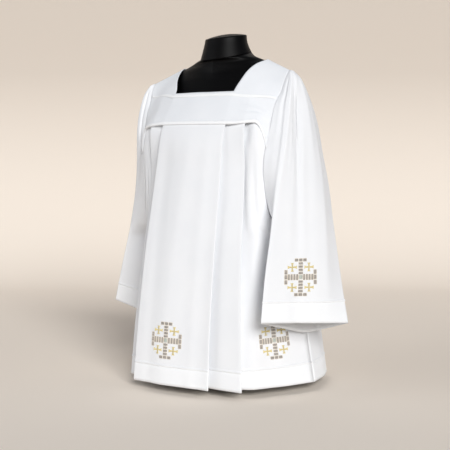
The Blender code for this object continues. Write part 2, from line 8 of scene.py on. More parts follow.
import bmesh
import bpy
import numpy as np
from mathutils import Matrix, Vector


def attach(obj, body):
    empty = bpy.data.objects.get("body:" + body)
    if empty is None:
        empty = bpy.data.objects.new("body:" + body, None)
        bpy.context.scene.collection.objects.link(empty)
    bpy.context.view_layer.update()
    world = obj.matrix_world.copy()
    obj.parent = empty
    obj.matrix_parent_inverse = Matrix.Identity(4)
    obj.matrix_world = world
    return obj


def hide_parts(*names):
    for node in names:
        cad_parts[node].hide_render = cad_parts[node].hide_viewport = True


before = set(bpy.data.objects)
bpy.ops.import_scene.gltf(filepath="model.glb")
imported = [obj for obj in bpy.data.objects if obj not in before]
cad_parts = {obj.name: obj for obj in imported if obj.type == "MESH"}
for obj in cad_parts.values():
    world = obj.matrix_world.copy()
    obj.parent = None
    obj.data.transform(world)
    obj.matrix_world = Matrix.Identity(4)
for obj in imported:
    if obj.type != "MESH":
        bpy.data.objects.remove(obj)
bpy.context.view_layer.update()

CM = 0.01
HEM_ABOVE_FLOOR = 2.0
CLOTH = 0.07
FOLD_RADIUS = 0.14

# The tables from here to FORM are those that the solids are made from.
YOKE_DROP = 6.9
YOKE_DROP_FROM = 16.9
YOKE_DROP_TO = 20.0
YOKE_DROP_POWER = 2.4
YOKE_BOTTOM = 65.5
YOKE_SKEW = 0.04
UNDERLAP = 0.8
FADE_OUT = 50.0
UNDERARM = 36.0
SEAM_STEP = 0.8
CAP_ROWS = (0.4, 0.8)
CORNER_PULL = 0.8
CUFF = 16.5
NECK_ROW = 4
BODY_TUCK = 4.75
SLEEVE_TUCK = 21.6

YOKE_COLUMNS = ("row", "neck_x", "neck_y", "neck_z", "arm_x", "arm_y", "arm_z", "centre_y")
YOKE_FRONT = (
    (0, 13.6, -0.47, 83.3, 21.8, -3.37, 79.3, -0.47),
    (1, 13.2, -1.9, 82.6, 21.7, -4.4, 78.3, -1.9),
    (2, 12.3, -4.0, 81.1, 21.5, -5.6, 76.2, -4.0),
    (3, 10.9, -7.4, 78.2, 21.1, -6.9, 73.1, -7.6),
    (4, 9.4, -10.5, 74.4, 20.6, -8.8, 70.1, -11.0),
    (5, 9.6, -13.2, 70.0, 20.3, -10.4, 65.4, -13.8),
    (6, 10.0, -15.5, 65.5, 20.0, -12.1, 58.6, -16.1),
)
YOKE_BACK = (
    (0, 13.6, -0.43, 83.3, 21.8, -3.33, 79.3, -0.43),
    (1, 13.4, 1.8, 83.1, 21.8, -1.6, 78.7, 1.8),
    (2, 12.9, 4.2, 82.6, 21.7, 0.6, 77.2, 4.3),
    (3, 12.1, 6.6, 81.6, 21.4, 2.7, 74.8, 6.9),
    (4, 11.3, 8.6, 80.2, 21.0, 5.0, 71.6, 9.0),
    (5, 10.6, 11.4, 73.4, 20.5, 8.2, 66.0, 11.9),
    (6, 10.4, 12.6, 65.5, 20.0, 10.2, 58.6, 13.2),
)

SIDE_COLUMNS = ("z", "x", "y")
SIDE = (
    (66.4, 21.6, -2.6),
    (54.0, 21.9, -1.6),
    (50.0, 21.9, -1.2),
    (41.0, 22.3, -0.7),
    (26.0, 23.5, -0.7),
    (11.6, 25.7, -1.2),
    (0.0, 28.3, -2.4),
)
EDGE_COLUMNS = ("z", "share", "sleeve_off")
EDGE = (
    (66.4, 0.44, 0.02),
    (62.0, 0.455, 0.02),
    (58.0, 0.46, 0.02),
    (54.0, 0.47, 0.02),
    (50.0, 0.50, 0.03),
    (46.0, 0.55, 0.06),
    (42.0, 0.63, 0.12),
    (39.0, 0.76, 0.20),
    (37.0, 0.93, 0.26),
    (36.0, 1.0, 0.30),
    (0.0, 1.0, 0.30),
)

PLEAT_COLUMNS = ("z", "centre_y", "fold1_x", "fold1_y", "back1_x", "back1_y", "fold2_x",
                 "fold2_y", "back2_x", "back2_y", "side_x", "side_y", "tuck_x", "tuck_y")
PLEATS_FRONT = (
    (66.4, -15.6, 9.9, -15.0, 7.2, -14.6, 15.0, -13.9, 12.3, -13.1, 22.3, -12.9, 0.0, 0.0),
    (64.0, -16.6, 9.9, -16.0, 7.2, -15.5, 15.1, -14.8, 12.4, -13.8, 22.2, -14.2, 0.2, 0.2),
    (54.0, -18.4, 10.2, -18.0, 7.3, -17.3, 15.6, -15.4, 12.7, -14.4, 21.9, -16.6, 1.0, 1.0),
    (50.0, -19.1, 10.3, -18.7, 7.3, -17.9, 15.8, -15.9, 12.8, -14.9, 21.9, -17.0, 1.2, 1.3),
    (31.0, -22.2, 10.8, -22.0, 7.2, -20.8, 17.2, -19.6, 13.8, -18.4, 21.4, -17.8, 1.8, 2.4),
    (12.0, -24.6, 11.2, -24.5, 7.1, -22.8, 18.6, -21.9, 15.0, -20.2, 21.0, -18.8, 2.1, 2.7),
    (0.0, -25.6, 11.5, -25.5, 7.0, -23.3, 19.4, -22.8, 15.6, -20.5, 21.2, -19.0, 2.4, 2.8),
)
PLEATS_BACK = (
    (66.4, 12.82, 10.0, 12.2, 7.3, 11.8, 15.0, 11.1, 12.3, 10.6, 22.3, 11.8, 0.0, 0.0),
    (64.0, 13.1, 10.0, 12.5, 7.3, 12.1, 15.1, 11.4, 12.4, 10.9, 22.2, 12.1, 0.0, 0.0),
    (54.0, 14.2, 10.2, 13.7, 7.3, 13.0, 15.6, 12.5, 12.7, 11.8, 21.7, 13.2, 0.0, 0.0),
    (50.0, 14.6, 10.3, 14.1, 7.3, 13.3, 15.8, 12.9, 12.8, 12.1, 21.7, 13.4, 0.0, 0.0),
    (31.0, 16.8, 10.8, 16.6, 7.2, 15.3, 17.4, 14.8, 14.0, 13.6, 22.6, 13.6, 0.3, 0.3),
    (12.0, 19.4, 11.2, 19.2, 7.1, 17.5, 19.2, 16.8, 15.6, 15.1, 25.0, 13.8, 0.5, 0.5),
    (0.0, 20.8, 11.5, 20.6, 7.0, 18.6, 20.4, 17.8, 16.6, 15.8, 27.0, 13.8, 0.6, 0.6),
)

SLEEVE_COLUMNS = ("z", "ridge_x", "ridge_y", "crease_x", "crease_y", "outer_x", "outer_y",
                  "rear_x", "rear_y", "in_front_x", "in_front_y", "in_back_x", "in_back_y")
SLEEVE_LEFT = (
    (78.6, 22.8, -4.8, 23.3, -3.9, 23.2, -2.9, 22.5, -2.2, 21.9, -4.1, 21.9, -1.6),
    (77.6, 23.2, -5.5, 24.1, -4.4, 24.2, -2.6, 23.4, -0.8, 21.8, -4.9, 21.8, 0.0),
    (75.5, 23.4, -6.7, 24.8, -5.1, 25.2, -2.0, 23.8, 1.2, 21.4, -6.0, 21.5, 1.9),
    (72.0, 23.7, -8.1, 25.5, -5.8, 26.2, -1.4, 24.5, 3.4, 20.9, -7.8, 21.1, 4.7),
    (62.0, 24.4, -11.3, 26.9, -7.4, 28.2, -0.8, 25.6, 7.0, 20.0, -10.9, 20.0, 10.5),
    (52.0, 24.6, -14.2, 27.7, -8.7, 30.0, -1.2, 27.6, 7.0, 20.8, -9.0, 20.8, 8.0),
    (41.0, 24.6, -17.4, 28.6, -10.2, 31.6, -2.6, 30.2, 5.0, 23.1, -2.8, 23.2, 0.6),
    (26.0, 24.5, -21.2, 29.6, -12.5, 33.3, -5.0, 33.8, 2.8, 24.8, -3.4, 25.6, 0.6),
    (16.5, 24.4, -22.6, 30.2, -13.3, 34.0, -6.0, 36.8, 0.4, 26.2, -3.8, 27.4, 0.6),
)
SLEEVE_RIGHT = (
    (78.6, 22.8, -4.8, 23.3, -3.9, 23.2, -2.9, 22.5, -2.2, 21.9, -4.1, 21.9, -1.6),
    (77.6, 23.2, -5.4, 24.1, -4.2, 24.2, -2.2, 23.4, -0.6, 21.8, -4.9, 21.8, 0.0),
    (75.5, 23.4, -6.5, 24.9, -4.4, 25.2, -1.2, 23.9, 1.8, 21.4, -6.0, 21.5, 1.9),
    (72.0, 23.4, -8.0, 25.6, -4.6, 26.3, 0.0, 24.7, 4.4, 20.9, -7.8, 21.1, 4.7),
    (62.0, 22.8, -10.2, 26.5, -4.8, 27.9, 1.4, 25.8, 8.4, 20.0, -10.6, 20.0, 10.5),
    (52.0, 24.5, -8.8, 28.1, -3.3, 29.7, 3.0, 28.0, 9.2, 20.8, -8.2, 20.8, 8.0),
    (41.0, 27.6, -7.5, 30.7, -1.5, 31.9, 4.4, 30.6, 9.8, 23.2, -2.0, 23.8, 1.4),
    (26.0, 32.2, -6.8, 34.4, 0.1, 35.2, 6.0, 33.6, 11.2, 25.2, -0.6, 26.4, 2.6),
    (16.5, 34.8, -6.4, 36.8, 1.0, 37.4, 7.2, 35.8, 12.2, 26.6, 0.6, 28.0, 3.6),
)
CUFF_TILT = {"seam": -4.1, "ridge": 0.5, "crease": -0.1, "outer": -0.7, "rear": -1.2}
RIDGE_ROUND = 0.9
REAR_BULGE = 1.6

FORM_COLUMNS = ("z", "half_width", "centre_y", "front", "back", "power", "tilt")
FORM = (
    (21.0, 14.6, -1.0, 9.4, 9.4, 2.3, 0.0),
    (23.0, 15.6, -1.0, 10.2, 10.2, 2.3, 0.0),
    (32.0, 16.2, -1.0, 10.6, 10.6, 2.3, 0.0),
    (43.0, 14.0, -1.0, 9.6, 9.4, 2.3, 0.0),
    (53.0, 15.6, -1.2, 10.6, 9.8, 2.3, 0.0),
    (61.0, 17.0, -1.4, 11.2, 10.4, 2.3, 0.0),
    (66.0, 17.8, -1.6, 11.2, 10.6, 2.2, 0.0),
    (70.0, 18.6, -2.0, 9.4, 10.2, 2.1, 0.0),
    (73.5, 19.4, -2.4, 7.4, 9.2, 2.0, 0.0),
    (76.5, 20.3, -2.8, 5.4, 7.8, 1.8, 0.0),
    (78.4, 20.7, -3.0, 4.2, 7.4, 1.5, 0.0),
    (79.8, 19.6, -2.8, 3.9, 7.6, 1.2, 0.0),
    (81.0, 17.3, -2.1, 4.4, 7.6, 1.1, 0.0),
    (82.2, 14.9, -1.3, 5.2, 7.6, 1.1, 0.0),
    (83.2, 12.7, -0.6, 5.8, 7.6, 1.15, 0.04),
    (84.2, 10.4, -0.4, 6.2, 7.2, 1.35, 0.12),
    (85.0, 8.4, -0.2, 6.6, 7.0, 1.7, 0.22),
    (85.6, 7.0, 0.0, 6.9, 6.9, 2.0, 0.30),
)
NECK_RADIUS = 5.75
NECK_TOP = 90.9
NECK_SEAM = 85.6


def read(columns, rows, key):
    """The named columns at a key, on smooth curves that don't overshoot a row."""
    table = np.array(sorted(rows), dtype=float)
    keys = table[:, 0]
    rises = np.diff(table, axis=0) / np.diff(keys)[:, None]
    before, after = np.vstack((rises[:1], rises)), np.vstack((rises, rises[-1:]))
    limit = 3 * np.minimum(abs(before), abs(after))
    slopes = np.clip(np.gradient(table, keys, axis=0), -limit, limit)
    slopes = np.where(before * after > 0, slopes, 0.0)
    key = min(max(key, keys[0]), keys[-1])
    i = max(min(int(np.searchsorted(keys, key, side="right")) - 1, len(keys) - 2), 0)
    span = keys[i + 1] - keys[i]
    t = (key - keys[i]) / span
    low, high = table[i], table[i + 1]
    value = ((2 * t**3 - 3 * t**2 + 1) * low + (t**3 - 2 * t**2 + t) * span * slopes[i]
             + (3 * t**2 - 2 * t**3) * high + (t**3 - t**2) * span * slopes[i + 1])
    return dict(zip(columns, value))


def mix(a, b, t):
    return a + (b - a) * t


def ease(t):
    t = min(max(t, 0.0), 1.0)
    return t * t * (3 - 2 * t)


def ease_in(t):
    """Bend gently from level at 0, then run straight."""
    t = max(t, 0.0)
    return t * t / (t + 0.08)


def bump(distance, left, right=None):
    """A soft ridge: 1 on its line, 0 beyond left or right of it."""
    width = left if distance < 0 or right is None else right
    return ease(1 - abs(distance) / width)


def tent(distance, width, rounding):
    """A ridge between two flat slopes, its line rounded off."""
    return 1 - (math.sqrt(distance * distance + rounding * rounding) - rounding) / width


def wander(u, v, seed):
    """A slow, uneven wave between about -1 and 1."""
    return (math.sin(u * 1.0 + v * 0.31 + seed) + 0.6 * math.sin(u * 0.47 - v * 0.83 + seed * 2.7)
            + 0.4 * math.sin(u * 1.9 + v * 1.37 + seed * 5.1)) / 2.0


def yoke_drop(x):
    t = (abs(x) - YOKE_DROP_FROM) / (YOKE_DROP_TO - YOKE_DROP_FROM)
    return YOKE_DROP * min(max(t, 0.0), 1.0)**YOKE_DROP_POWER


def skew(x):
    return -YOKE_SKEW * x * (1 - ease((abs(x) - 10.0) / 10.0))


def room(point):
    """From centimetres above the hem to metres above the floor."""
    return Vector((point.x, point.y, point.z + HEM_ABOVE_FLOOR)) * CM


def row_normals(grid, closes=lambda r: False):
    """Outward normals of a grid whose rows go down and whose columns go anticlockwise."""
    rows, cols = len(grid), len(grid[0])
    normals = []
    for r in range(rows):
        line = []
        for c in range(cols):
            left = grid[r][(c - 1) % cols] if closes(r) else grid[r][max(c - 1, 0)]
            right = grid[r][(c + 1) % cols] if closes(r) else grid[r][min(c + 1, cols - 1)]
            down = grid[min(r + 1, rows - 1)][c] - grid[max(r - 1, 0)][c]
            line.append(down.cross(right - left).normalized())
        normals.append(line)
    return normals


def run_along(points):
    """How far along a line each of its points lies."""
    run = [0.0]
    for a, b in zip(points, points[1:]):
        run.append(run[-1] + (b - a).length)
    return run


def cut_length(points):
    return run_along(points)[-1]


def run_of(line):
    """The same for an array of points."""
    return np.concatenate(([0.0], np.cumsum(np.linalg.norm(np.diff(line, axis=0), axis=1))))


def new_object(name, bm):
    """Put a finished mesh in the scene."""
    mesh = bpy.data.meshes.new(name)
    bm.to_mesh(mesh)
    bm.free()
    thing = bpy.data.objects.new(name, mesh)
    bpy.context.scene.collection.objects.link(thing)
    return thing


def cloth(name, grid, closed=False, has_cell=None, thick=CLOTH, doubled=None):
    """One sheet of cloth on a grid of points, with its cut laid flat as its UV map.

    doubled gives each row's share of doubled cloth, as in a hem.
    """
    rows, cols = len(grid), len(grid[0])
    middle = cols // 2
    across = []
    for line in grid:
        run = run_along(line + line[:1])
        across.append([(d - run[middle]) * CM for d in run])
    down = [d * CM for d in run_along([line[middle] for line in grid])]
    bm = bmesh.new()
    uv = bm.loops.layers.uv.new("cut")
    layers = bm.verts.layers.float.new("doubled")
    made = {}

    def corner(r, c):
        c %= cols
        if (r, c) not in made:
            made[r, c] = bm.verts.new(room(grid[r][c]))
            made[r, c][layers] = doubled[r] if doubled else 0.0
        return made[r, c]

    for r in range(rows - 1):
        for c in range(cols if closed else cols - 1):
            if has_cell and not has_cell(r, c):
                continue
            ring = ((r, c), (r + 1, c), (r + 1, c + 1), (r, c + 1))
            face = bm.faces.new([corner(*p) for p in ring])
            face.smooth = True
            for loop, (i, j) in zip(face.loops, ring):
                loop[uv].uv = (across[i][j], -down[i])
    thing = new_object(name, bm)
    shell = thing.modifiers.new("cloth", "SOLIDIFY")
    shell.thickness = thick * CM
    shell.offset = 0.0
    return thing


def dress(thing, material, node=None):
    thing.data.materials.append(material)
    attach(thing, "root")
    if node:
        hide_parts(node)


def area_of(grid, closed=False, has_cell=None):
    """Area of a grid of cloth in square metres."""
    total = 0.0
    rows, cols = len(grid), len(grid[0])
    for r in range(rows - 1):
        for c in range(cols if closed else cols - 1):
            if has_cell and not has_cell(r, c):
                continue
            a, b = grid[r][c], grid[r + 1][c]
            d, e = grid[r][(c + 1) % cols], grid[r + 1][(c + 1) % cols]
            total += ((b - a).cross(d - a).length + (b - e).cross(d - e).length) / 2
    return total * CM * CM


def state_sheet(grid, column, closed=False, has_cell=None):
    """Work out a piece's cut: its widest row, its length down one column, and its area; nothing
    keeps the result.
    """
    wide = max(cut_length(line + line[:1] if closed else line) for line in grid) * CM
    tall = cut_length([line[column] for line in grid]) * CM
    min(area_of(grid, closed, has_cell), wide * tall)


# Yokes.

NECK_SLIP = (0.95, 0.35)
# About how many cm of cloth lie between the neck edge and the arm, and between two rows.
SHOULDER_WIDE, ROW_DEEP = 9, 5.0
# The raised edge round the neck opening.
RIM_AT, RIM_WIDE, RIM_HIGH = 0.25, 0.45, 0.05


def yoke_fullness(t):
    """How the yoke stays flat past the neck edge, t = 0, before it turns to the arm, t = 1."""
    return -0.06 * math.log(math.exp(-1.40 * t / 0.06) + math.exp(-1.22 * (1 - t) / 0.06))


def yoke_point(rows, across, row):
    """A point of the yoke: across is 0 at the centre, 1 at the neck edge, 2 at the arm."""
    line = read(YOKE_COLUMNS, rows, row)
    neck = Vector((line["neck_x"], line["neck_y"], line["neck_z"]))
    arm = Vector((line["arm_x"], line["arm_y"], line["arm_z"]))
    side = abs(across)
    if side <= 1:
        point = Vector((neck.x * side, mix(line["centre_y"], neck.y, side**2), neck.z))
    else:
        point = neck.lerp(arm, side - 1)
        level = neck.z - (neck.z - arm.z) * yoke_drop(point.x) / YOKE_DROP
        point.z = mix(point.z, level, ease((row - NECK_ROW) / 2.0))
        full = yoke_fullness(side - 1) * ease((row - 2) / 2.0)
        point.y += full if rows is YOKE_BACK else -full
    if across < 0:
        point.x = -point.x
    if rows is YOKE_FRONT:
        point.z += skew(point.x) * ease((row - 1) / 3.0)
        slip = NECK_SLIP[0] if across > 0 else NECK_SLIP[1]
        slip *= ease((2 - side) / 0.9) * bump(row - 2.3, 2.0, 1.7)
        point += Vector((-slip, 0, 0.42 * slip))
    return point


def steps(*stops):
    """Even steps between stops: steps(a, n, b, m, c) has n steps from a to b."""
    values = [stops[0]]
    for i in range(1, len(stops) - 1, 2):
        start, count, end = values[-1], stops[i], stops[i + 1]
        values += [start + (end - start) * k / count for k in range(1, count + 1)]
    return values


YOKE_ACROSS = steps(-2, 26, -1, 34, 1, 26, 2)
YOKE_DOWN = steps(0, 34, NECK_ROW, 30, 6)
TURNED_UNDER = (0.10, 0.26, 0.46)


def yoke_grid(rows, facing):
    """Fine yoke grid with soft undulations and the raised edge round the neckline."""
    grid = [[yoke_point(rows, -facing * a, row) for a in YOKE_ACROSS] for row in YOKE_DOWN]
    normals = row_normals(grid)
    for r, row in enumerate(YOKE_DOWN):
        for c, a in enumerate(YOKE_ACROSS):
            point = grid[r][c]
            soft = 0.07 * wander(point.x * 0.45, point.z * 0.3, 3.0 + facing)
            soft *= ease((2 - abs(a)) / 0.3) * ease(row / 1.5) * ease((6 - row) / 1.0)
            if facing < 0:
                soft += yoke_crumple(point.x / 20.0, row)
            if row <= NECK_ROW:
                past_neck = (abs(a) - 1) * SHOULDER_WIDE
            else:
                past_neck = (row - NECK_ROW) * ROW_DEEP if abs(a) <= 1 else SHOULDER_WIDE
            soft += RIM_HIGH * ease(1 - abs(past_neck - RIM_AT) / RIM_WIDE)
            grid[r][c] = point + normals[r][c] * soft
    edge = list(grid[-1])
    for depth in TURNED_UNDER:
        grid.append([point - normals[-1][c] * depth * (1 + 1.7 * ease((abs(a) - 1.6) / 0.4))
                     + Vector((0, 0, 0.3 * depth))
                     for c, (a, point) in enumerate(zip(YOKE_ACROSS, edge))])
    return grid


def yoke_crumple(side, row):
    """Small creases in the front yoke where it turns towards the wearer's left arm."""
    reach = ease((side - 0.58) / 0.2) * ease((1.0 - side) / 0.1)
    out = 0.13 * bump(row - 4.62 - 0.9 * (side - 0.7), 0.16, 0.24)
    out -= 0.08 * bump(row - 4.95 - 0.5 * (side - 0.7), 0.2)
    out += 0.10 * bump(row - 5.25 + 0.5 * (side - 0.7), 0.2, 0.3)
    return out * reach


def yoke_has_cell(r, c):
    inside = abs(YOKE_ACROSS[c]) <= 1 and abs(YOKE_ACROSS[c + 1]) <= 1
    return not (inside and r < len(YOKE_DOWN) and YOKE_DOWN[r] < NECK_ROW)


# How high a tape stands, row by row, and which of its rows are its middle and its seams.
TAPE_PROFILE = (0.0, 0.55, 0.85, 0.95, 1.0, 0.95, 0.85, 0.6, 0.0)
TAPE_MIDDLE = 4
TAPE_SEAMS = (2, 6)


def yoke_of(facing):
    return "front_yoke" if facing < 0 else "back_yoke"


def yoke_tape(name, rows, facing, first, last, height, material, node, lean=(0.0, 0.0)):
    """A doubled band of cloth stitched on a yoke between two of its rows.

    lean is by how many rows the band's left and right ends rise above its middle.
    """
    down = steps(first, len(TAPE_PROFILE) - 1, last)
    across = steps(-1.97, 30, -1, 34, 1, 30, 1.97)
    grid = []
    for row in down:
        line = []
        for a in across:
            rise = lean[0] if a * facing < 0 else lean[1]
            line.append(yoke_point(rows, -facing * a, row - rise * ease_in(abs(a) - 1)))
        grid.append(line)
    normals = row_normals(grid)
    for r, line in enumerate(grid):
        for c, point in enumerate(line):
            pucker = 0.018 * math.sin(point.x * 4.3 + 2 * math.sin(point.x * 0.9))
            line[c] = point + normals[r][c] * (0.06 + (height + pucker) * TAPE_PROFILE[r])
    piece = cloth(name, grid, thick=0.05)
    dress(piece, material, node)
    length = cut_length(grid[TAPE_MIDDLE]) * CM
    width = cut_length([line[len(across) // 2] for line in grid]) * CM
    min(area_of(grid), width * length)
    return grid


# Body panels.

SIDE_POINTS = 28

def half_turn(centre, side, inward, count=7):
    """Points round a pleat's fold; side is 1 for an outer edge and -1 for a hidden one."""
    points = []
    for k in range(count):
        angle = math.pi * k / (count - 1)
        points.append(Vector((centre.x + side * FOLD_RADIUS * math.sin(angle),
                              centre.y - inward * FOLD_RADIUS * math.cos(angle))))
    return points


def between(a, b, count):
    return [a.lerp(b, k / count) for k in range(1, count)]


def half_path(line, side, end, inward, share):
    """Plan points from the first pleat to the panel's edge, for one half of a panel."""
    tuck = (0.0, 0.0) if side > 0 else (line["tuck_x"], line["tuck_y"] * inward)
    in_one = Vector((0, FOLD_RADIUS * inward))
    along = Vector((FOLD_RADIUS, 0))
    corner = Vector((line["side_x"] - tuck[0], line["side_y"] + 2 * tuck[1]))
    turns = []
    for name, turn, moved in (("fold1", 1, 0), ("back1", -1, 0), ("fold2", 1, 1),
                              ("back2", -1, 1)):
        edge = Vector((line[name + "_x"] - moved * tuck[0], line[name + "_y"] + moved * tuck[1]))
        turns.append(half_turn(edge + in_one - along * turn, turn, inward))
    points = list(turns[0])
    for before, after, count in zip(turns, turns[1:], (7, 12, 7)):
        points += between(before[-1], after[0], count) + after
    start = points[-1]
    one, two = start.lerp(corner, CORNER_PULL), end.lerp(corner, CORNER_PULL)
    for k in range(1, SIDE_POINTS + 1):
        t = share * k / SIDE_POINTS
        points.append(start * (1 - t)**3 + one * 3 * t * (1 - t)**2
                      + two * 3 * t * t * (1 - t) + end * t**3)
    return points


def panel_line(rows, facing, level, side):
    line = read(PLEAT_COLUMNS, rows, level)
    seam = read(SIDE_COLUMNS, SIDE, level)
    share = read(EDGE_COLUMNS, EDGE, level)["share"]
    return half_path(line, side, Vector((seam["x"], seam["y"])), -facing, share)


def panel_grid(rows, facing, levels):
    grid = []
    for level in levels:
        line = read(PLEAT_COLUMNS, rows, level)
        left, right = (panel_line(rows, facing, level, side) for side in (1, -1))
        reach = line["fold1_x"] - FOLD_RADIUS
        centre = [Vector((reach * s, mix(line["centre_y"], line["fold1_y"], s * s)))
                  for s in steps(-1, 28, 1)[1:-1]]
        path = [Vector((-p.x, p.y)) for p in reversed(right)] + centre + left
        if facing > 0:
            path.reverse()
        hang = ease((level - FADE_OUT) / (YOKE_BOTTOM + UNDERLAP - FADE_OUT))
        tilt = skew if facing < 0 else lambda x: 0.0
        grid.append([Vector((p.x, p.y, level + (tilt(p.x) - yoke_drop(p.x)) * hang))
                     for p in path])
    return grid


BODY_LEVELS = steps(66.4, 24, 50.0, 28, UNDERARM, 36, BODY_TUCK + 0.6, 12, BODY_TUCK - 0.6,
                    6, 0.0)
HEM_STITCHES = 0.3


def hem_line(height, along):
    """The narrow tuck over a hem, slightly puckered, and the doubled hem below it."""
    ridge = 0.16 * ease(1 - abs(height) / 0.36)
    ridge *= 1 + 0.35 * math.sin(along * 3.1 + 1.7 * math.sin(along * 0.7))
    groove = -0.07 * ease(1 - abs(height + 0.42) / 0.16)
    return ridge + groove + 0.03 * ease(-height / 0.3)


def front_drape(x, z):
    """How far the front panel's cloth stands out at x and z, from its soft creases."""
    low = ease((65.5 - z) / 9.0)
    line = mix(0.4, -2.4, ease((64 - z) / 52.0))
    out = 0.62 * low * tent(x - line, 8.5, 0.5)
    out -= 0.16 * low * bump(x + 6.8, 2.4, 3.0)
    out += 0.12 * low * bump(x - 6.0, 2.6, 2.2)
    out += 0.07 * low * wander(x * 0.42, z * 0.05, 1.3)
    return out


def back_drape(x, z):
    low = ease((64.0 - z) / 12.0)
    out = 0.26 * low * bump(x + 1.8 + 0.02 * z, 4.0, 3.0)
    out -= 0.2 * low * bump(x - 5.5, 3.0)
    out += 0.12 * low * wander(x * 0.4, z * 0.05, 4.4)
    return out


def side_drape(turn, z, facing):
    """The same at the sides, where turn runs from 0 behind the second pleat to 1."""
    low = ease((60.0 - z) / 14.0) * ease((1 - turn) / 0.12) * ease(turn / 0.15)
    out = 0.35 * bump(turn - 0.33 - 0.002 * z, 0.16, 0.2)
    out -= 0.30 * bump(turn - 0.62, 0.15)
    out += 0.12 * wander(turn * 9, z * 0.06, 2.0 + facing)
    return out * low


def make_panel(name, rows, facing, material, node):
    grid = panel_grid(rows, facing, BODY_LEVELS)
    normals = row_normals(grid)
    cols = len(grid[0])
    drape = front_drape if facing < 0 else back_drape
    for r, line in enumerate(grid):
        runs = 0.0
        for c, point in enumerate(line):
            edge = min(c, cols - 1 - c)
            z, x = point.z, point.x
            if edge < SIDE_POINTS:
                turn = 1 - edge / SIDE_POINTS
                shift = side_drape(turn, z, facing)
                if facing < 0 < x:
                    shift -= 0.4 * bump(turn - 0.3, 0.2, 0.25) * bump(z - 62.5, 5.0, 4.0)
                shift *= normals[r][c]
            else:
                shift = Vector((0, facing, 0)) * drape(x, z) * ease((12.5 - abs(x)) / 4.0)
            runs += (line[c] - line[c - 1]).length if c else 0.0
            lift = hem_line(BODY_LEVELS[r] - BODY_TUCK, runs + 7 * facing)
            line[c] = point + shift + normals[r][c] * lift
    hem = [ease((BODY_TUCK + 0.1 - level) / 0.3) for level in BODY_LEVELS]
    piece = cloth(name, grid, doubled=hem)
    dress(piece, material, node)
    state_sheet(grid, cols // 2)
    return grid


# Sleeves.

ARMHOLES = {}
# Points round a sleeve's ridge, and steps from the front seam round to it again.
TURN_POINTS = 9
TO_RIDGE, TO_CREASE, TO_OUTER, TO_REAR, TO_BACK, TO_FRONT = 11, 16, 14, 14, 13, 6
RIDGE_AT = TO_RIDGE + TURN_POINTS // 2
CREASE_AT = TO_RIDGE + TURN_POINTS + TO_CREASE - 1
CAP_LEVEL = 80.0
CAP_BETWEEN = (0.3, 0.62)


def armhole_line(side, facing):
    """Heights and plan positions of the armhole edge: the yoke's end, then the panel's."""
    if (side, facing) not in ARMHOLES:
        yoke = YOKE_FRONT if facing < 0 else YOKE_BACK
        pleats = PLEATS_FRONT if facing < 0 else PLEATS_BACK
        ends = [yoke_point(yoke, 2, row / 10) for row in range(61)]
        lowest = ends[-1].z
        grid = panel_grid(pleats, facing, steps(66.4, 40, 50.0, 28, UNDERARM))
        edge = [line[-1 if side * facing < 0 else 0] for line in grid]
        ends += [p for p in edge if p.z < lowest - SEAM_STEP]
        ends.sort(key=lambda p: p.z)
        ARMHOLES[side, facing] = ([p.z for p in ends], [abs(p.x) for p in ends],
                                  [p.y for p in ends])
    return ARMHOLES[side, facing]


def armhole(z, side, facing):
    heights, xs, ys = armhole_line(side, facing)
    return Vector((float(np.interp(z, heights, xs)), float(np.interp(z, heights, ys))))


def round_corner(before, corner, after, reach):
    start = corner + (before - corner).normalized() * reach
    end = corner + (after - corner).normalized() * reach
    return [start * (1 - t)**2 + corner * 2 * t * (1 - t) + end * t * t
            for t in steps(0, TURN_POINTS - 1, 1)]


def sleeve_section(line, level):
    """Points of one sleeve section, from the front seam round the outside to the back."""
    sag = (UNDERARM - level) / (UNDERARM - CUFF) if level < UNDERARM else 0.0

    def vertex(name, tilt):
        return Vector((line[name + "_x"], line[name + "_y"], level + sag * CUFF_TILT[tilt]))

    front, back = vertex("in_front", "seam"), vertex("in_back", "seam")
    ridge, crease = vertex("ridge", "ridge"), vertex("crease", "crease")
    outer, rear = vertex("outer", "outer"), vertex("rear", "rear")
    near = min(RIDGE_ROUND, (ridge - crease).length * 0.35, (ridge - front).length * 0.3)
    far = min(RIDGE_ROUND, (rear - outer).length * 0.35, (rear - back).length * 0.3)
    bulge = Vector((0, 1, 0)) * min(REAR_BULGE, (rear - back).length * 0.15)
    ridge_turn = round_corner(front, ridge, crease, near)
    rear_turn = round_corner(outer, rear, back, far)
    points = [front] + between(front, ridge_turn[0], TO_RIDGE) + ridge_turn
    points += between(ridge_turn[-1], crease, TO_CREASE) + [crease]
    points += between(crease, outer, TO_OUTER) + [outer]
    points += between(outer, rear_turn[0], TO_REAR) + rear_turn
    for k in range(1, TO_BACK):
        t = k / TO_BACK
        points.append(rear_turn[-1].lerp(back, t) + bulge * math.sin(math.pi * t))
    return points + [back]


def soften(points, passes, keep):
    """Round a line of points off, leaving its ends and the kept corners sharper."""
    for _ in range(passes):
        points = [p if i in (0, len(points) - 1) or i in keep
                  else points[i - 1] / 4 + p / 2 + points[i + 1] / 4
                  for i, p in enumerate(points)]
    return points


def cap_row(count):
    """The sleeve's top row, which follows the yoke's end over the shoulder ridge."""
    points = []
    for k in range(count):
        t = 2 * k / (count - 1) - 1
        if t < 0:
            end = yoke_point(YOKE_FRONT, 2, -t * CAP_ROWS[0])
        else:
            end = yoke_point(YOKE_BACK, 2, t * CAP_ROWS[1])
        points.append(end + Vector((0.08, 0, 0)))
    return points


SLEEVE_LEVELS = steps(78.6, 8, 76.0, 24, 50.0, 28, UNDERARM, 16, SLEEVE_TUCK + 0.6, 12,
                      SLEEVE_TUCK - 0.6, 8, CUFF)
SLEEVE_ROWS = [CAP_LEVEL] * (1 + len(CAP_BETWEEN)) + SLEEVE_LEVELS


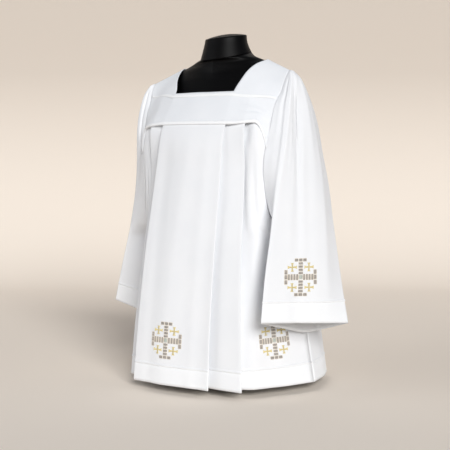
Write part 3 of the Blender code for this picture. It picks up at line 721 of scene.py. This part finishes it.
def sleeve_drape(c, count, z, side):
    """How far the sleeve stands out at column c: its pressed crease and long soft folds."""
    beside = (c - CREASE_AT) * 0.55
    low = ease((76.0 - z) / 8.0)
    head = ease((z - 40.0) / 26.0) * ease((78.0 - z) / 3.0)
    wide = 1.9 + 2.0 * ease((z - 52.0) / 18.0)
    depth = ((0.5 if side > 0 else 0.3) + 0.55 * head) * (1 - 0.9 * bump(z - 28.0, 7.5, 12.0))
    out = -depth * low * bump(beside + 0.3, wide * 1.7, wide * 0.85)
    out += 0.18 * low * bump(beside - 4.6, 2.6)
    out -= head * 0.40 * bump(c - RIDGE_AT + 4, 5.0, 4.0)
    out += head * 0.34 * bump(c - RIDGE_AT - 4, 3.5, 5.0)
    out -= head * 0.20 * bump(c - RIDGE_AT - 13, 3.0)
    out += head * 0.24 * bump(c - CREASE_AT - 9, 4.0)
    out += 0.10 * low * wander(c * 0.21, z * 0.07, 2.2 + side)
    return out * ease(c / 5) * ease((count - 1 - c) / 5)


def make_sleeve(name, rows, side, material, node):
    grid = []
    for level in SLEEVE_LEVELS:
        line = read(SLEEVE_COLUMNS, rows, level)
        if level >= UNDERARM:
            off = read(EDGE_COLUMNS, EDGE, level)["sleeve_off"]
            for key, facing in (("in_front", -1), ("in_back", 1)):
                edge = armhole(level, side, facing)
                tucked = 1.1 * bump(level - 60.4, 3.4) if facing < 0 else 0
                line[key + "_x"], line[key + "_y"] = edge.x + (off - tucked), edge.y
        grid.append(soften(sleeve_section(line, level), 3, (CREASE_AT,)))
    count = len(grid[0])
    cap = cap_row(count)
    first = grid[0]
    top = [cap]
    for t in CAP_BETWEEN:
        arch = Vector((0.22, 0, 0.16)) * math.sin(math.pi * t)
        top.append([a.lerp(b, t) + arch * math.sin(math.pi * k / (count - 1))
                    for k, (a, b) in enumerate(zip(cap, first))])
    grid = [line + between(line[-1], line[0], TO_FRONT) for line in top + grid]
    if side < 0:
        grid = [[Vector((-p.x, p.y, p.z)) for p in reversed(line)] for line in grid]
    total = len(grid[0])
    crease = CREASE_AT if side > 0 else total - 1 - CREASE_AT

    def column(c):
        return c if side > 0 else total - 1 - c

    def has_cell(r, c):
        lower = SLEEVE_ROWS[r] <= UNDERARM
        if side > 0:
            return lower or c < count - 1
        return lower or (total - count <= c < total - 1)

    normals = row_normals(grid, lambda r: SLEEVE_ROWS[r] <= UNDERARM)
    for r, line in enumerate(grid):
        runs = 0.0
        moved = []
        for c, point in enumerate(line):
            k = column(c)
            out = sleeve_drape(k, count, point.z, side) if k < count else 0.0
            runs += (line[c] - line[c - 1]).length if c else 0.0
            out += hem_line(SLEEVE_ROWS[r] - SLEEVE_TUCK, runs + 3 * side)
            moved.append(point + normals[r][c] * out)
        grid[r] = moved
    hem = [ease((SLEEVE_TUCK + 0.1 - level) / 0.3) for level in SLEEVE_ROWS]
    piece = cloth(name, grid, closed=True, has_cell=has_cell, doubled=hem)
    dress(piece, material, node)
    state_sheet(grid, crease, True, has_cell)
    return grid


# Embroidery.

THREAD_STEP = 0.062
CROSS_WIDE, CROSS_HIGH = 1.07, 0.93
THREAD_LIFT = 0.035
OUTLINE_RADIUS = 0.05
OUTLINE_OFF = 0.08
CORD_SIDES = 5
CHART_REACH, CHART_STEP = 5.6, 0.1


def cross_chart():
    """A Jerusalem cross in satin blocks: thread colour and corners, in cm from its middle.

    Threads run from a block's first edge, between its first two corners, to the opposite one.
    """
    blocks = []

    def block(colour, x, y, wide, high, upright=False):
        w, h = wide / 2, high / 2
        corners = [(x - w, y - h), (x - w, y + h), (x + w, y + h), (x + w, y - h)]
        if upright:
            corners = corners[1:] + corners[:1]
        blocks.append((colour, corners))

    for x in (-1.13, 0.0, 1.13):
        block("taupe", x, 4.45, 0.80, 0.64)
        block("taupe", x, -4.45, 0.80, 0.64)
    for y in (1.10, 1.92, 2.74, 3.56):
        block("taupe", 0.0, y, 1.02, 0.50)
        block("taupe", 0.0, -y, 1.02, 0.50)
    for x in (0.94, 1.68, 2.42, 3.16):
        block("taupe", x, 0.05, 0.46, 1.34, True)
        block("taupe", -x, 0.05, 0.46, 1.34, True)
    for y in (1.35, 0.05, -1.25):
        block("taupe", 3.92, y, 0.66, 0.94, True)
        block("taupe", -3.92, y, 0.66, 0.94, True)
    block("pale", 0.0, 0.05, 0.92, 0.92)
    for x in (-2.25, 2.25):
        for y in (-2.6, 2.6):
            block("gold", x, y, 0.36, 0.36)
            for reach, a, b in ((1.24, 0, 1), (-1.24, 0, 1), (1.1, 1, 0), (-1.1, 1, 0)):
                start = 0.19 if reach > 0 else -0.19
                corners = []
                for out, half in ((start, 0.17), (reach * 0.68, 0.21), (reach, 0.43)):
                    corners.append(((x + a * half + b * out, y + b * half + a * out),
                                    (x - a * half + b * out, y - b * half + a * out)))
                for one, two in zip(corners, corners[1:]):
                    blocks.append(("gold", [one[0], two[0], two[1], one[1]]))
    return [(colour, [(x * CROSS_WIDE, y * CROSS_HIGH) for x, y in corners])
            for colour, corners in blocks]


def chart_cloth(grid, column, level, lean):
    """Where a chart's points lie on a piece of cloth: a function from x, y, height to cm."""
    points = np.array([[tuple(p) for p in line] for line in grid])
    heights = points[:, column, 2]
    count = round(2 * CHART_REACH / CHART_STEP) + 1
    spread = np.linspace(-CHART_REACH, CHART_REACH, count)
    lattice = np.zeros((count, count, 3))
    for i, y in enumerate(spread):
        row = int(np.argmax(heights < level + y))
        t = (heights[row - 1] - level - y) / (heights[row - 1] - heights[row])
        line = points[row - 1] * (1 - t) + points[row] * t
        run = run_of(line)
        middle = run[column] + lean[0] + lean[1] * y
        for axis in range(3):
            lattice[i, :, axis] = np.interp(spread + middle, run, line[:, axis])
    up, right = np.gradient(lattice, axis=0), np.gradient(lattice, axis=1)
    normals = np.cross(right, up)
    normals /= np.linalg.norm(normals, axis=2, keepdims=True)

    def place(chart):
        inside = CHART_REACH - CHART_STEP / 2
        at = (np.clip(chart[:, :2], -inside, inside) + CHART_REACH) / CHART_STEP
        i, j = at[:, 1].astype(int), at[:, 0].astype(int)
        u, v = (at[:, 1] - i)[:, None], (at[:, 0] - j)[:, None]

        def sample(field):
            return (field[i, j] * (1 - u) * (1 - v) + field[i + 1, j] * u * (1 - v)
                    + field[i, j + 1] * (1 - u) * v + field[i + 1, j + 1] * u * v)

        return sample(lattice) + sample(normals) * (chart[:, 2:] + CLOTH / 2)

    return place


def strand(verts, faces, path, half, lift):
    """A thread along a path of chart points and heights, flat below and rounded above."""
    first = len(verts)
    for k, (x, y, height) in enumerate(path):
        before, after = path[max(k - 1, 0)], path[min(k + 1, len(path) - 1)]
        along = Vector((after[0] - before[0], after[1] - before[1])).normalized()
        side = Vector((-along.y, along.x)) * half
        for share, high in ((1.0, -0.02), (0.62, lift * 0.8), (0.0, lift),
                            (-0.62, lift * 0.8), (-1.0, -0.02)):
            verts.append((x + side.x * share, y + side.y * share,
                          -0.02 if high < 0 else height + high))
    for k in range(len(path) - 1):
        a, b = first + 5 * k, first + 5 * (k + 1)
        for i in range(5):
            n = (i + 1) % 5
            faces.append((a + i, a + n, b + n, b + i))
    last = first + 5 * (len(path) - 1)
    faces.append(tuple(first + i for i in (4, 3, 2, 1, 0)))
    faces.append(tuple(last + i for i in range(5)))


def satin(corners, verts, faces):
    """Side-by-side satin threads over one block, higher in its middle."""
    a, b, c, d = (Vector(p) for p in corners)
    count = max(3, round(max((b - a).length, (c - d).length) / THREAD_STEP))
    for k in range(count):
        t = (k + 0.5) / count
        start, end = a.lerp(b, t), d.lerp(c, t)
        dome = 0.03 * math.sin(math.pi * (0.12 + 0.76 * t))
        sway = 0.012 * math.sin(k * 2.3 + start.x * 5)
        path = []
        for j in range(5):
            p = start.lerp(end, mix(-0.02, 1.02, j / 4))
            rise = (0.0, 0.75, 1.0, 0.75, 0.0)[j]
            path.append((p.x + sway * rise, p.y + sway * rise, 0.012 + (0.02 + dome) * rise))
        strand(verts, faces, path, THREAD_STEP * 0.5, THREAD_LIFT)


def outline(corners, verts, faces):
    """A fine cord laid round a block."""
    middle = sum((Vector(p) for p in corners), Vector((0, 0))) / 4
    ring = []
    for p, q in zip(corners, corners[1:] + corners[:1]):
        for t in (0.0, 0.33, 0.67):
            point = Vector(p).lerp(Vector(q), t)
            away = point - middle
            ring.append(point + away.normalized() * OUTLINE_OFF)
    first = len(verts)
    for k, point in enumerate(ring):
        along = (ring[(k + 1) % len(ring)] - ring[k - 1]).normalized()
        side = Vector((-along.y, along.x))
        for n in range(CORD_SIDES):
            angle = 2 * math.pi * n / CORD_SIDES
            p = point + side * OUTLINE_RADIUS * math.cos(angle)
            verts.append((p.x, p.y, 0.02 + OUTLINE_RADIUS * math.sin(angle)))
    for k in range(len(ring)):
        a, b = (first + CORD_SIDES * i for i in (k, (k + 1) % len(ring)))
        for n in range(CORD_SIDES):
            m = (n + 1) % CORD_SIDES
            faces.append((a + n, a + m, b + m, b + n))


def stitched(name, spots, chart, faces, material):
    """One joined mesh of threads: its points in cm, and where each lies on the flat work."""
    bm = bmesh.new()
    uv = bm.loops.layers.uv.new("cut")
    made = [bm.verts.new(room(Vector(p))) for p in spots]
    for face in faces:
        new = bm.faces.new([made[i] for i in face])
        new.smooth = len(face) == 4
        for loop, i in zip(new.loops, face):
            loop[uv].uv = (chart[i][0] * CM, chart[i][1] * CM)
    bmesh.ops.recalc_face_normals(bm, faces=bm.faces)
    dress(new_object(name, bm), material)


def embroider(label, grid, column, level, lean, threads):
    """A cross worked on a piece: its threads by colour, and the cords round its blocks."""
    place = chart_cloth(grid, column, level, lean)
    chart = cross_chart()

    def work(part, draw, colours, thread):
        verts, faces = [], []
        for colour, corners in chart:
            if colour in colours:
                draw(corners, verts, faces)
        stitched(label + part, place(np.array(verts)), verts, faces, threads[thread])

    for colour in ("taupe", "gold", "pale"):
        work("_" + colour + "_threads", satin, (colour,), colour)
    work("_outline_cords", outline, ("taupe", "pale"), "cream")


STITCH_LONG, STITCH_GAP = 0.26, 0.07
STITCH_RADIUS = 0.028


def sew(name, seams, material):
    """Machine stitches along lines of points, each with its outward normals."""
    spots, chart, faces = [], [], []
    for points, normals in seams:
        line = np.array([tuple(p) for p in points])
        outs = np.array([tuple(n) for n in normals])
        run = run_of(line)
        pitch = STITCH_LONG + STITCH_GAP
        for k in range(int(run[-1] / pitch)):
            first = len(spots)
            for j, lift in enumerate((-0.02, 0.022, -0.02)):
                at = k * pitch + STITCH_LONG * j / 2
                here, ahead, out = (Vector([np.interp(d, run, field[:, i]) for i in range(3)])
                                    for d, field in ((at, line), (at + 0.05, line), (at, outs)))
                out.normalize()
                side = out.cross(ahead - here).normalized()
                middle = here + out * (CLOTH / 2 + lift)
                for angle in (0.0, 2.1, 4.2):
                    spots.append(middle + (side * math.sin(angle) + out * math.cos(angle))
                                 * STITCH_RADIUS)
                    chart.append((at, angle * 0.02))
            for j in range(2):
                a, b = first + 3 * j, first + 3 * j + 3
                faces += [(a + i, a + (i + 1) % 3, b + (i + 1) % 3, b + i) for i in range(3)]
            faces += [(first + 2, first + 1, first), (first + 6, first + 7, first + 8)]
    stitched(name, spots, chart, faces, material)


def level_row(grid, levels, level):
    """The row of a grid made at the level nearest to one, with its normals."""
    r = min(range(len(levels)), key=lambda i: abs(levels[i] - level))
    normals = row_normals(grid[r - 1:r + 2])[1]
    return grid[r], normals


# Dress form.

RING_POINTS = 96
NECK_FOOT = 6.98
NECK_LEANS = (0.30, 0.22)
NECK_EDGE = 0.55
NECK_DOME = 0.7


def ring_angles():
    return [2 * math.pi * k / RING_POINTS for k in range(RING_POINTS)]


def form_ring(z):
    line = read(FORM_COLUMNS, FORM, z)
    ring = []
    for angle in ring_angles():
        c, s = math.cos(angle), math.sin(angle)
        power = 2 / line["power"]
        x = line["half_width"] * math.copysign(abs(c)**power, c)
        depth = line["back"] if s > 0 else line["front"]
        y = line["centre_y"] + depth * math.copysign(abs(s)**power, s)
        ring.append(Vector((x, y, z + line["tilt"] * y)))
    return ring


def lofted(name, rings):
    """A closed body through rings of points, bottom to top."""
    bm = bmesh.new()
    loops = [[bm.verts.new(room(p)) for p in ring] for ring in rings]
    count = len(loops[0])
    for low, high in zip(loops, loops[1:]):
        for k in range(count):
            n = (k + 1) % count
            bm.faces.new((low[k], low[n], high[n], high[k])).smooth = True
    bm.faces.new(list(reversed(loops[0])))
    bm.faces.new(loops[-1])
    return new_object(name, bm)


def neck_ring(radius, z, lean, y_shift=0.0):
    ring = []
    for angle in ring_angles():
        y = radius * math.sin(angle) + y_shift
        ring.append(Vector((radius * math.cos(angle), y, z + lean * y)))
    return ring


def make_form(jersey):
    heights = steps(21.0, 4, 23.0, 30, 66.0, 18, 78.4, 8, 81.0, 14, NECK_SEAM)
    dress(lofted("jersey_torso", [form_ring(z) for z in heights]), jersey, "form_torso")

    foot_lean, top_lean = NECK_LEANS
    foot, rim = NECK_SEAM + 0.12, NECK_TOP - 0.6
    rings = [neck_ring(6.85, NECK_SEAM + 0.03, foot_lean), neck_ring(NECK_FOOT, foot, foot_lean)]
    for t in steps(0.04, 14, 1):
        rings.append(neck_ring(mix(NECK_FOOT, NECK_RADIUS, 1 - (1 - t)**1.5), mix(foot, rim, t),
                               mix(foot_lean, top_lean, t), -0.2 * math.sin(math.pi * t)))
    for k in range(1, 7):
        angle = math.pi / 2 * k / 6
        rings.append(neck_ring(NECK_RADIUS - NECK_EDGE * (1 - math.cos(angle)),
                               rim + NECK_EDGE * math.sin(angle), top_lean))
    for share in (0.8, 0.6, 0.4, 0.2, 0.06):
        rings.append(neck_ring((NECK_RADIUS - NECK_EDGE) * share,
                               NECK_TOP - 0.05 + NECK_DOME * (1 - share**2), top_lean))
    dress(lofted("jersey_neck", rings), jersey, "form_neck")


# Finishes.

def feed(tree, node, inputs):
    """Give a node its inputs, each a value or another node's output."""
    for key, value in inputs.items():
        if isinstance(value, bpy.types.NodeSocket):
            tree.links.new(value, node.inputs[key])
        else:
            node.inputs[key].default_value = value


def add_node(tree, kind, inputs, **settings):
    """Add a shader node and return its outputs."""
    node = tree.nodes.new("ShaderNode" + kind)
    for key, value in settings.items():
        setattr(node, key, value)
    feed(tree, node, inputs)
    return node.outputs


def new_material(name):
    material = bpy.data.materials.new(name)
    material.use_nodes = True
    return material, material.node_tree


def shade(tree, factor, dull, bright, span=(0.0, 1.0)):
    """A colour that goes from dull to bright over a span of the factor."""
    ramp = tree.nodes.new("ShaderNodeValToRGB")
    for stop, at, colour in zip(ramp.color_ramp.elements, span, (dull, bright)):
        stop.position, stop.color = at, (*colour, 1)
    feed(tree, ramp, {0: factor})
    return ramp.outputs[0]


def surface(tree, colour, height, strength, depth, looks):
    """Give a material its colour, a relief some metres deep, and its other looks."""
    relief = add_node(tree, "Bump", {"Strength": strength, "Distance": depth, "Height": height})
    feed(tree, tree.nodes["Principled BSDF"],
         {"Base Color": colour, "Normal": relief[0], **looks})


def thread_weave():
    """Plain weave: over and under threads from the cut's UV map, as a height and a mask."""
    group = bpy.data.node_groups.new("plain weave", "ShaderNodeTree")
    for name, way, value in (("Threads per metre", "INPUT", 2200.0), ("Slubs", "INPUT", 0.35),
                             ("Height", "OUTPUT", 0.0), ("Mottle", "OUTPUT", 0.0)):
        socket = group.interface.new_socket(name, in_out=way, socket_type="NodeSocketFloat")
        socket.default_value = value
    given = group.nodes.new("NodeGroupInput").outputs
    uv = add_node(group, "UVMap", {}, uv_map="cut")["UV"]
    scaled = add_node(group, "VectorMath", {0: uv, "Scale": given["Threads per metre"]},
                      operation="SCALE")
    split = add_node(group, "SeparateXYZ", {0: scaled[0]})
    waves = []
    for axis in "XY":
        turn = add_node(group, "Math", {0: split[axis], 1: math.pi}, operation="MULTIPLY")
        waves.append(add_node(group, "Math", {0: turn[0]}, operation="SINE")[0])
    cross = add_node(group, "Math", {0: waves[0], 1: waves[1]}, operation="MULTIPLY")
    stretched = add_node(group, "Mapping", {"Vector": uv, "Scale": (1.0, 9.0, 1.0)})
    slub = add_node(group, "TexNoise", {"Vector": stretched[0], "Scale": 60.0, "Detail": 3.0})
    height = add_node(group, "Math", {0: slub["Fac"], 1: given["Slubs"], 2: cross[0]},
                      operation="MULTIPLY_ADD")
    mottle = add_node(group, "TexNoise", {"Vector": uv, "Scale": 9.0, "Detail": 4.0})
    feed(group, group.nodes.new("NodeGroupOutput"),
         {"Height": height[0], "Mottle": mottle["Fac"]})
    return group


MOTTLING = (0.3, 0.7)
DOUBLED_WHITE = (0.895, 0.91, 0.93, 1)


def white_cloth(name, weave, bright, dull, threads=2200, sheen=0.12):
    material, tree = new_material(name)
    pattern = tree.nodes.new("ShaderNodeGroup")
    pattern.node_tree = weave
    feed(tree, pattern, {"Threads per metre": threads})
    single = shade(tree, pattern.outputs["Mottle"], dull, bright, MOTTLING)
    layers = add_node(tree, "Attribute", {}, attribute_name="doubled")
    white = add_node(tree, "Mix", {"Factor": layers["Fac"], "A": single, "B": DOUBLED_WHITE},
                     data_type="RGBA")
    surface(tree, white["Result"], pattern.outputs["Height"], 0.25, 0.0002,
            {"Roughness": 0.78, "Sheen Weight": sheen, "Sheen Roughness": 0.45,
             "Specular IOR Level": 0.3})
    return material


def silky_thread(name, bright, dull, sheen=0.1):
    """Embroidery thread, each strand a little lighter or darker than the next."""
    material, tree = new_material(name)
    uv = add_node(tree, "UVMap", {}, uv_map="cut")["UV"]
    strands = add_node(tree, "TexNoise", {"Vector": uv, "Scale": 900.0, "Detail": 2.0})["Fac"]
    surface(tree, shade(tree, strands, dull, bright, MOTTLING), strands, 0.3, 0.0001,
            {"Roughness": 0.45, "Sheen Weight": sheen})
    return material


def black_jersey():
    material, tree = new_material("black jersey")
    place = add_node(tree, "TexCoord", {})["Object"]
    knit = add_node(tree, "TexWave", {"Vector": place, "Scale": 420.0, "Distortion": 1.5})
    cloud = add_node(tree, "TexNoise", {"Vector": place, "Scale": 14.0})
    colour = shade(tree, cloud["Fac"], (0.0008, 0.0006, 0.0007), (0.0016, 0.0013, 0.0014))
    surface(tree, colour, knit["Fac"], 0.15, 0.0003,
            {"Roughness": 0.45, "Specular IOR Level": 0.12})
    return material


def black_steel():
    material, tree = new_material("black steel")
    place = add_node(tree, "TexCoord", {})["Object"]
    grit = add_node(tree, "TexNoise", {"Vector": place, "Scale": 900.0})["Fac"]
    colour = shade(tree, grit, (0.02, 0.02, 0.021), (0.035, 0.035, 0.037))
    surface(tree, colour, grit, 0.2, 0.0002, {"Roughness": 0.42, "Metallic": 0.6})
    return material


# Studio.

AZIMUTH = math.radians(33.5)
DISTANCE = 2.2
EYE = 0.48
LENS, SENSOR = 64.0, 36.0
# The picture's width, and how far it is shifted to the right and up, in the same measure.
PICTURE = 450
SHIFT = (-1, -25)

# Name, azimuth, elevation, strength, softness and colour.
SUNS = (
    ("key", 51, 25, 2.65, 28, (1.0, 0.994, 0.985)),
    ("fill", -40, 14, 0.66, 40, (0.975, 0.985, 1.0)),
    ("back", 205, 32, 0.5, 60, (1.0, 0.99, 0.98)),
)
ROOM_LIGHT, ROOM_STRENGTH = (0.74, 0.81, 0.93, 1), 0.2

FLOOR_FROM, CURVE_FROM, CURVE_RADIUS, WALL_TOP = -3.5, 2.0, 1.6, 4.5
FLOOR_HALF_WIDE = 5.0
# How high up the wall, in metres, its painted shade reaches full darkness.
WALL_SHADE_RISE = 1.4


def studio():
    scene = bpy.context.scene
    lens = bpy.data.cameras.new("camera")
    lens.lens = LENS
    lens.sensor_width = SENSOR
    lens.shift_x, lens.shift_y = SHIFT[0] / PICTURE, SHIFT[1] / PICTURE
    camera = bpy.data.objects.new("camera", lens)
    camera.location = (DISTANCE * math.sin(AZIMUTH), -DISTANCE * math.cos(AZIMUTH), EYE)
    camera.rotation_euler = (math.pi / 2, 0, AZIMUTH)
    scene.collection.objects.link(camera)
    scene.camera = camera

    swept_floor()

    for name, azimuth, elevation, strength, softness, colour in SUNS:
        light = bpy.data.lights.new(name, "SUN")
        light.energy = strength
        light.angle = math.radians(softness)
        light.color = colour
        a, e = math.radians(azimuth), math.radians(elevation)
        place = Vector((math.sin(a) * math.cos(e), -math.cos(a) * math.cos(e), math.sin(e)))
        thing = bpy.data.objects.new(name, light)
        thing.location = place * 3
        thing.rotation_euler = (-place).to_track_quat("-Z", "Y").to_euler()
        scene.collection.objects.link(thing)

    scene.world = bpy.data.worlds.new("studio")
    scene.world.use_nodes = True
    back = scene.world.node_tree.nodes["Background"]
    back.inputs["Color"].default_value = ROOM_LIGHT
    back.inputs["Strength"].default_value = ROOM_STRENGTH
    scene.view_settings.view_transform = "Standard"


def swept_floor():
    """A pale floor that curves up into a wall well behind the form, its colour darkening as it
    rises: painted shade.
    """
    profile = [(FLOOR_FROM, 0.0), (CURVE_FROM, 0.0)]
    for angle in steps(0.0, 24, math.pi / 2)[1:]:
        profile.append((CURVE_FROM + CURVE_RADIUS * math.sin(angle),
                        CURVE_RADIUS * (1 - math.cos(angle))))
    profile.append((CURVE_FROM + CURVE_RADIUS, WALL_TOP))
    bm = bmesh.new()
    along = Vector((-math.sin(AZIMUTH), math.cos(AZIMUTH), 0))
    across = Vector((math.cos(AZIMUTH), math.sin(AZIMUTH), 0))
    right, left = ([bm.verts.new(along * d + across * w + Vector((0, 0, z))) for d, z in profile]
                   for w in (FLOOR_HALF_WIDE, -FLOOR_HALF_WIDE))
    for a, b, c, d in zip(right, right[1:], left[1:], left):
        bm.faces.new((a, b, c, d)).smooth = True
    floor = new_object("floor", bm)
    material, tree = new_material("pale floor")
    place = add_node(tree, "TexCoord", {})["Object"]
    split = add_node(tree, "SeparateXYZ", {0: place})
    # Painted shade: the colour darkens from the pale floor to a brown up the wall's lower part.
    rise = add_node(tree, "MapRange", {"From Max": WALL_SHADE_RISE, "Value": split["Z"]})
    colour = shade(tree, rise[0], (0.93, 0.84, 0.74), (0.62, 0.55, 0.48))
    feed(tree, tree.nodes["Principled BSDF"], {"Base Color": colour, "Roughness": 0.95})
    floor.data.materials.append(material)
    return floor


# Assembly.

# The column beside the neck opening down which a yoke is measured.
YOKE_SIDE_COLUMN = 6

weave = thread_weave()
# The yoke's cloth is painted a little darker than the body's: painted shade, as the yoke turns
# away from the light.
yoke_cloth_painted_shade = white_cloth("yoke cloth", weave, (0.86, 0.875, 0.90), (0.82, 0.84, 0.87))
body_cloth, sleeve_cloth = (white_cloth(name, weave, (0.87, 0.88, 0.90), (0.84, 0.855, 0.88))
                            for name in ("body cloth", "sleeve cloth"))
# The tapes are painted brighter than the yoke's cloth: a painted highlight for the light their
# raised bands catch.
tape_cloth_painted_bright = white_cloth("white tape painted brighter", weave, (0.96, 0.965, 0.97), (0.93, 0.935, 0.945),
                         threads=1500, sheen=0.2)

yoke_grids = []
for rows, facing, node in ((YOKE_FRONT, -1, "yoke_front"), (YOKE_BACK, 1, "yoke_back")):
    grid = yoke_grid(rows, facing)
    yoke_grids.append(grid)
    piece = cloth(yoke_of(facing), grid, has_cell=yoke_has_cell)
    dress(piece, yoke_cloth_painted_shade, node)
    state_sheet(grid, YOKE_SIDE_COLUMN, False, yoke_has_cell)

tapes = [
    yoke_tape("neckline_tape", YOKE_FRONT, -1, 4.10, 4.30, 0.05, tape_cloth_painted_bright, "yoke_tape_upper",
              lean=(0.75, 2.0)),
    yoke_tape("front_seam_tape", YOKE_FRONT, -1, 5.80, 6.02, 0.12, tape_cloth_painted_bright,
              "yoke_tape_lower"),
    yoke_tape("back_seam_tape", YOKE_BACK, 1, 5.85, 6.01, 0.12, tape_cloth_painted_bright, "yoke_tape_back"),
]
front = make_panel("front_panel", PLEATS_FRONT, -1, body_cloth, "panel_front")
back = make_panel("back_panel", PLEATS_BACK, 1, body_cloth, "panel_back")
left = make_sleeve("left_sleeve", SLEEVE_LEFT, 1, sleeve_cloth, "sleeve_left")
right = make_sleeve("right_sleeve", SLEEVE_RIGHT, -1, sleeve_cloth, "sleeve_right")

threads = {name: silky_thread(name + " thread", bright, dull) for name, bright, dull in (
    ("taupe", (0.52, 0.475, 0.435), (0.38, 0.34, 0.31)),
    ("gold", (0.86, 0.77, 0.38), (0.72, 0.58, 0.28)),
    ("pale", (0.70, 0.74, 0.68), (0.60, 0.64, 0.58)),
    ("cream", (0.84, 0.77, 0.63), (0.74, 0.66, 0.52)),
)}
columns = len(front[0])
embroider("front_cross", front, columns // 2, 10.95, (-1.3, 0.0), threads)
embroider("side_cross", front, columns - 20, 11.3, (6.95, -0.09), threads)
embroider("sleeve_cross", left, CREASE_AT, 27.3, (0.35, 0.0), threads)

white_thread = silky_thread("white thread", (0.92, 0.925, 0.93), (0.84, 0.85, 0.87), 0.2)
seams = []
for grid in tapes:
    normals = row_normals(grid)
    seams += [(grid[r], normals[r]) for r in TAPE_SEAMS]
sew("tape_stitches", seams, white_thread)
neck_rows = range(YOKE_DOWN.index(NECK_ROW))
seams = []
for grid in yoke_grids:
    normals = row_normals(grid)
    for side in (-1, 1):
        c = YOKE_ACROSS.index(side) + side
        seams.append([[field[r][c] for r in neck_rows] for field in (grid, normals)])
sew("neckline_stitches", seams, white_thread)
for name, grids, levels, tuck, slot in (
        ("body_hem_stitches", (front, back), BODY_LEVELS, BODY_TUCK, "body"),
        ("cuff_hem_stitches", (left, right), SLEEVE_ROWS, SLEEVE_TUCK, "sleeve")):
    sew(name, [level_row(grid, levels, tuck - HEM_STITCHES) for grid in grids],
        white_thread)

make_form(black_jersey())
steel = black_steel()
for node in ("form_post", "form_base"):
    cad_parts[node].data.materials.clear()
    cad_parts[node].data.materials.append(steel)

studio()
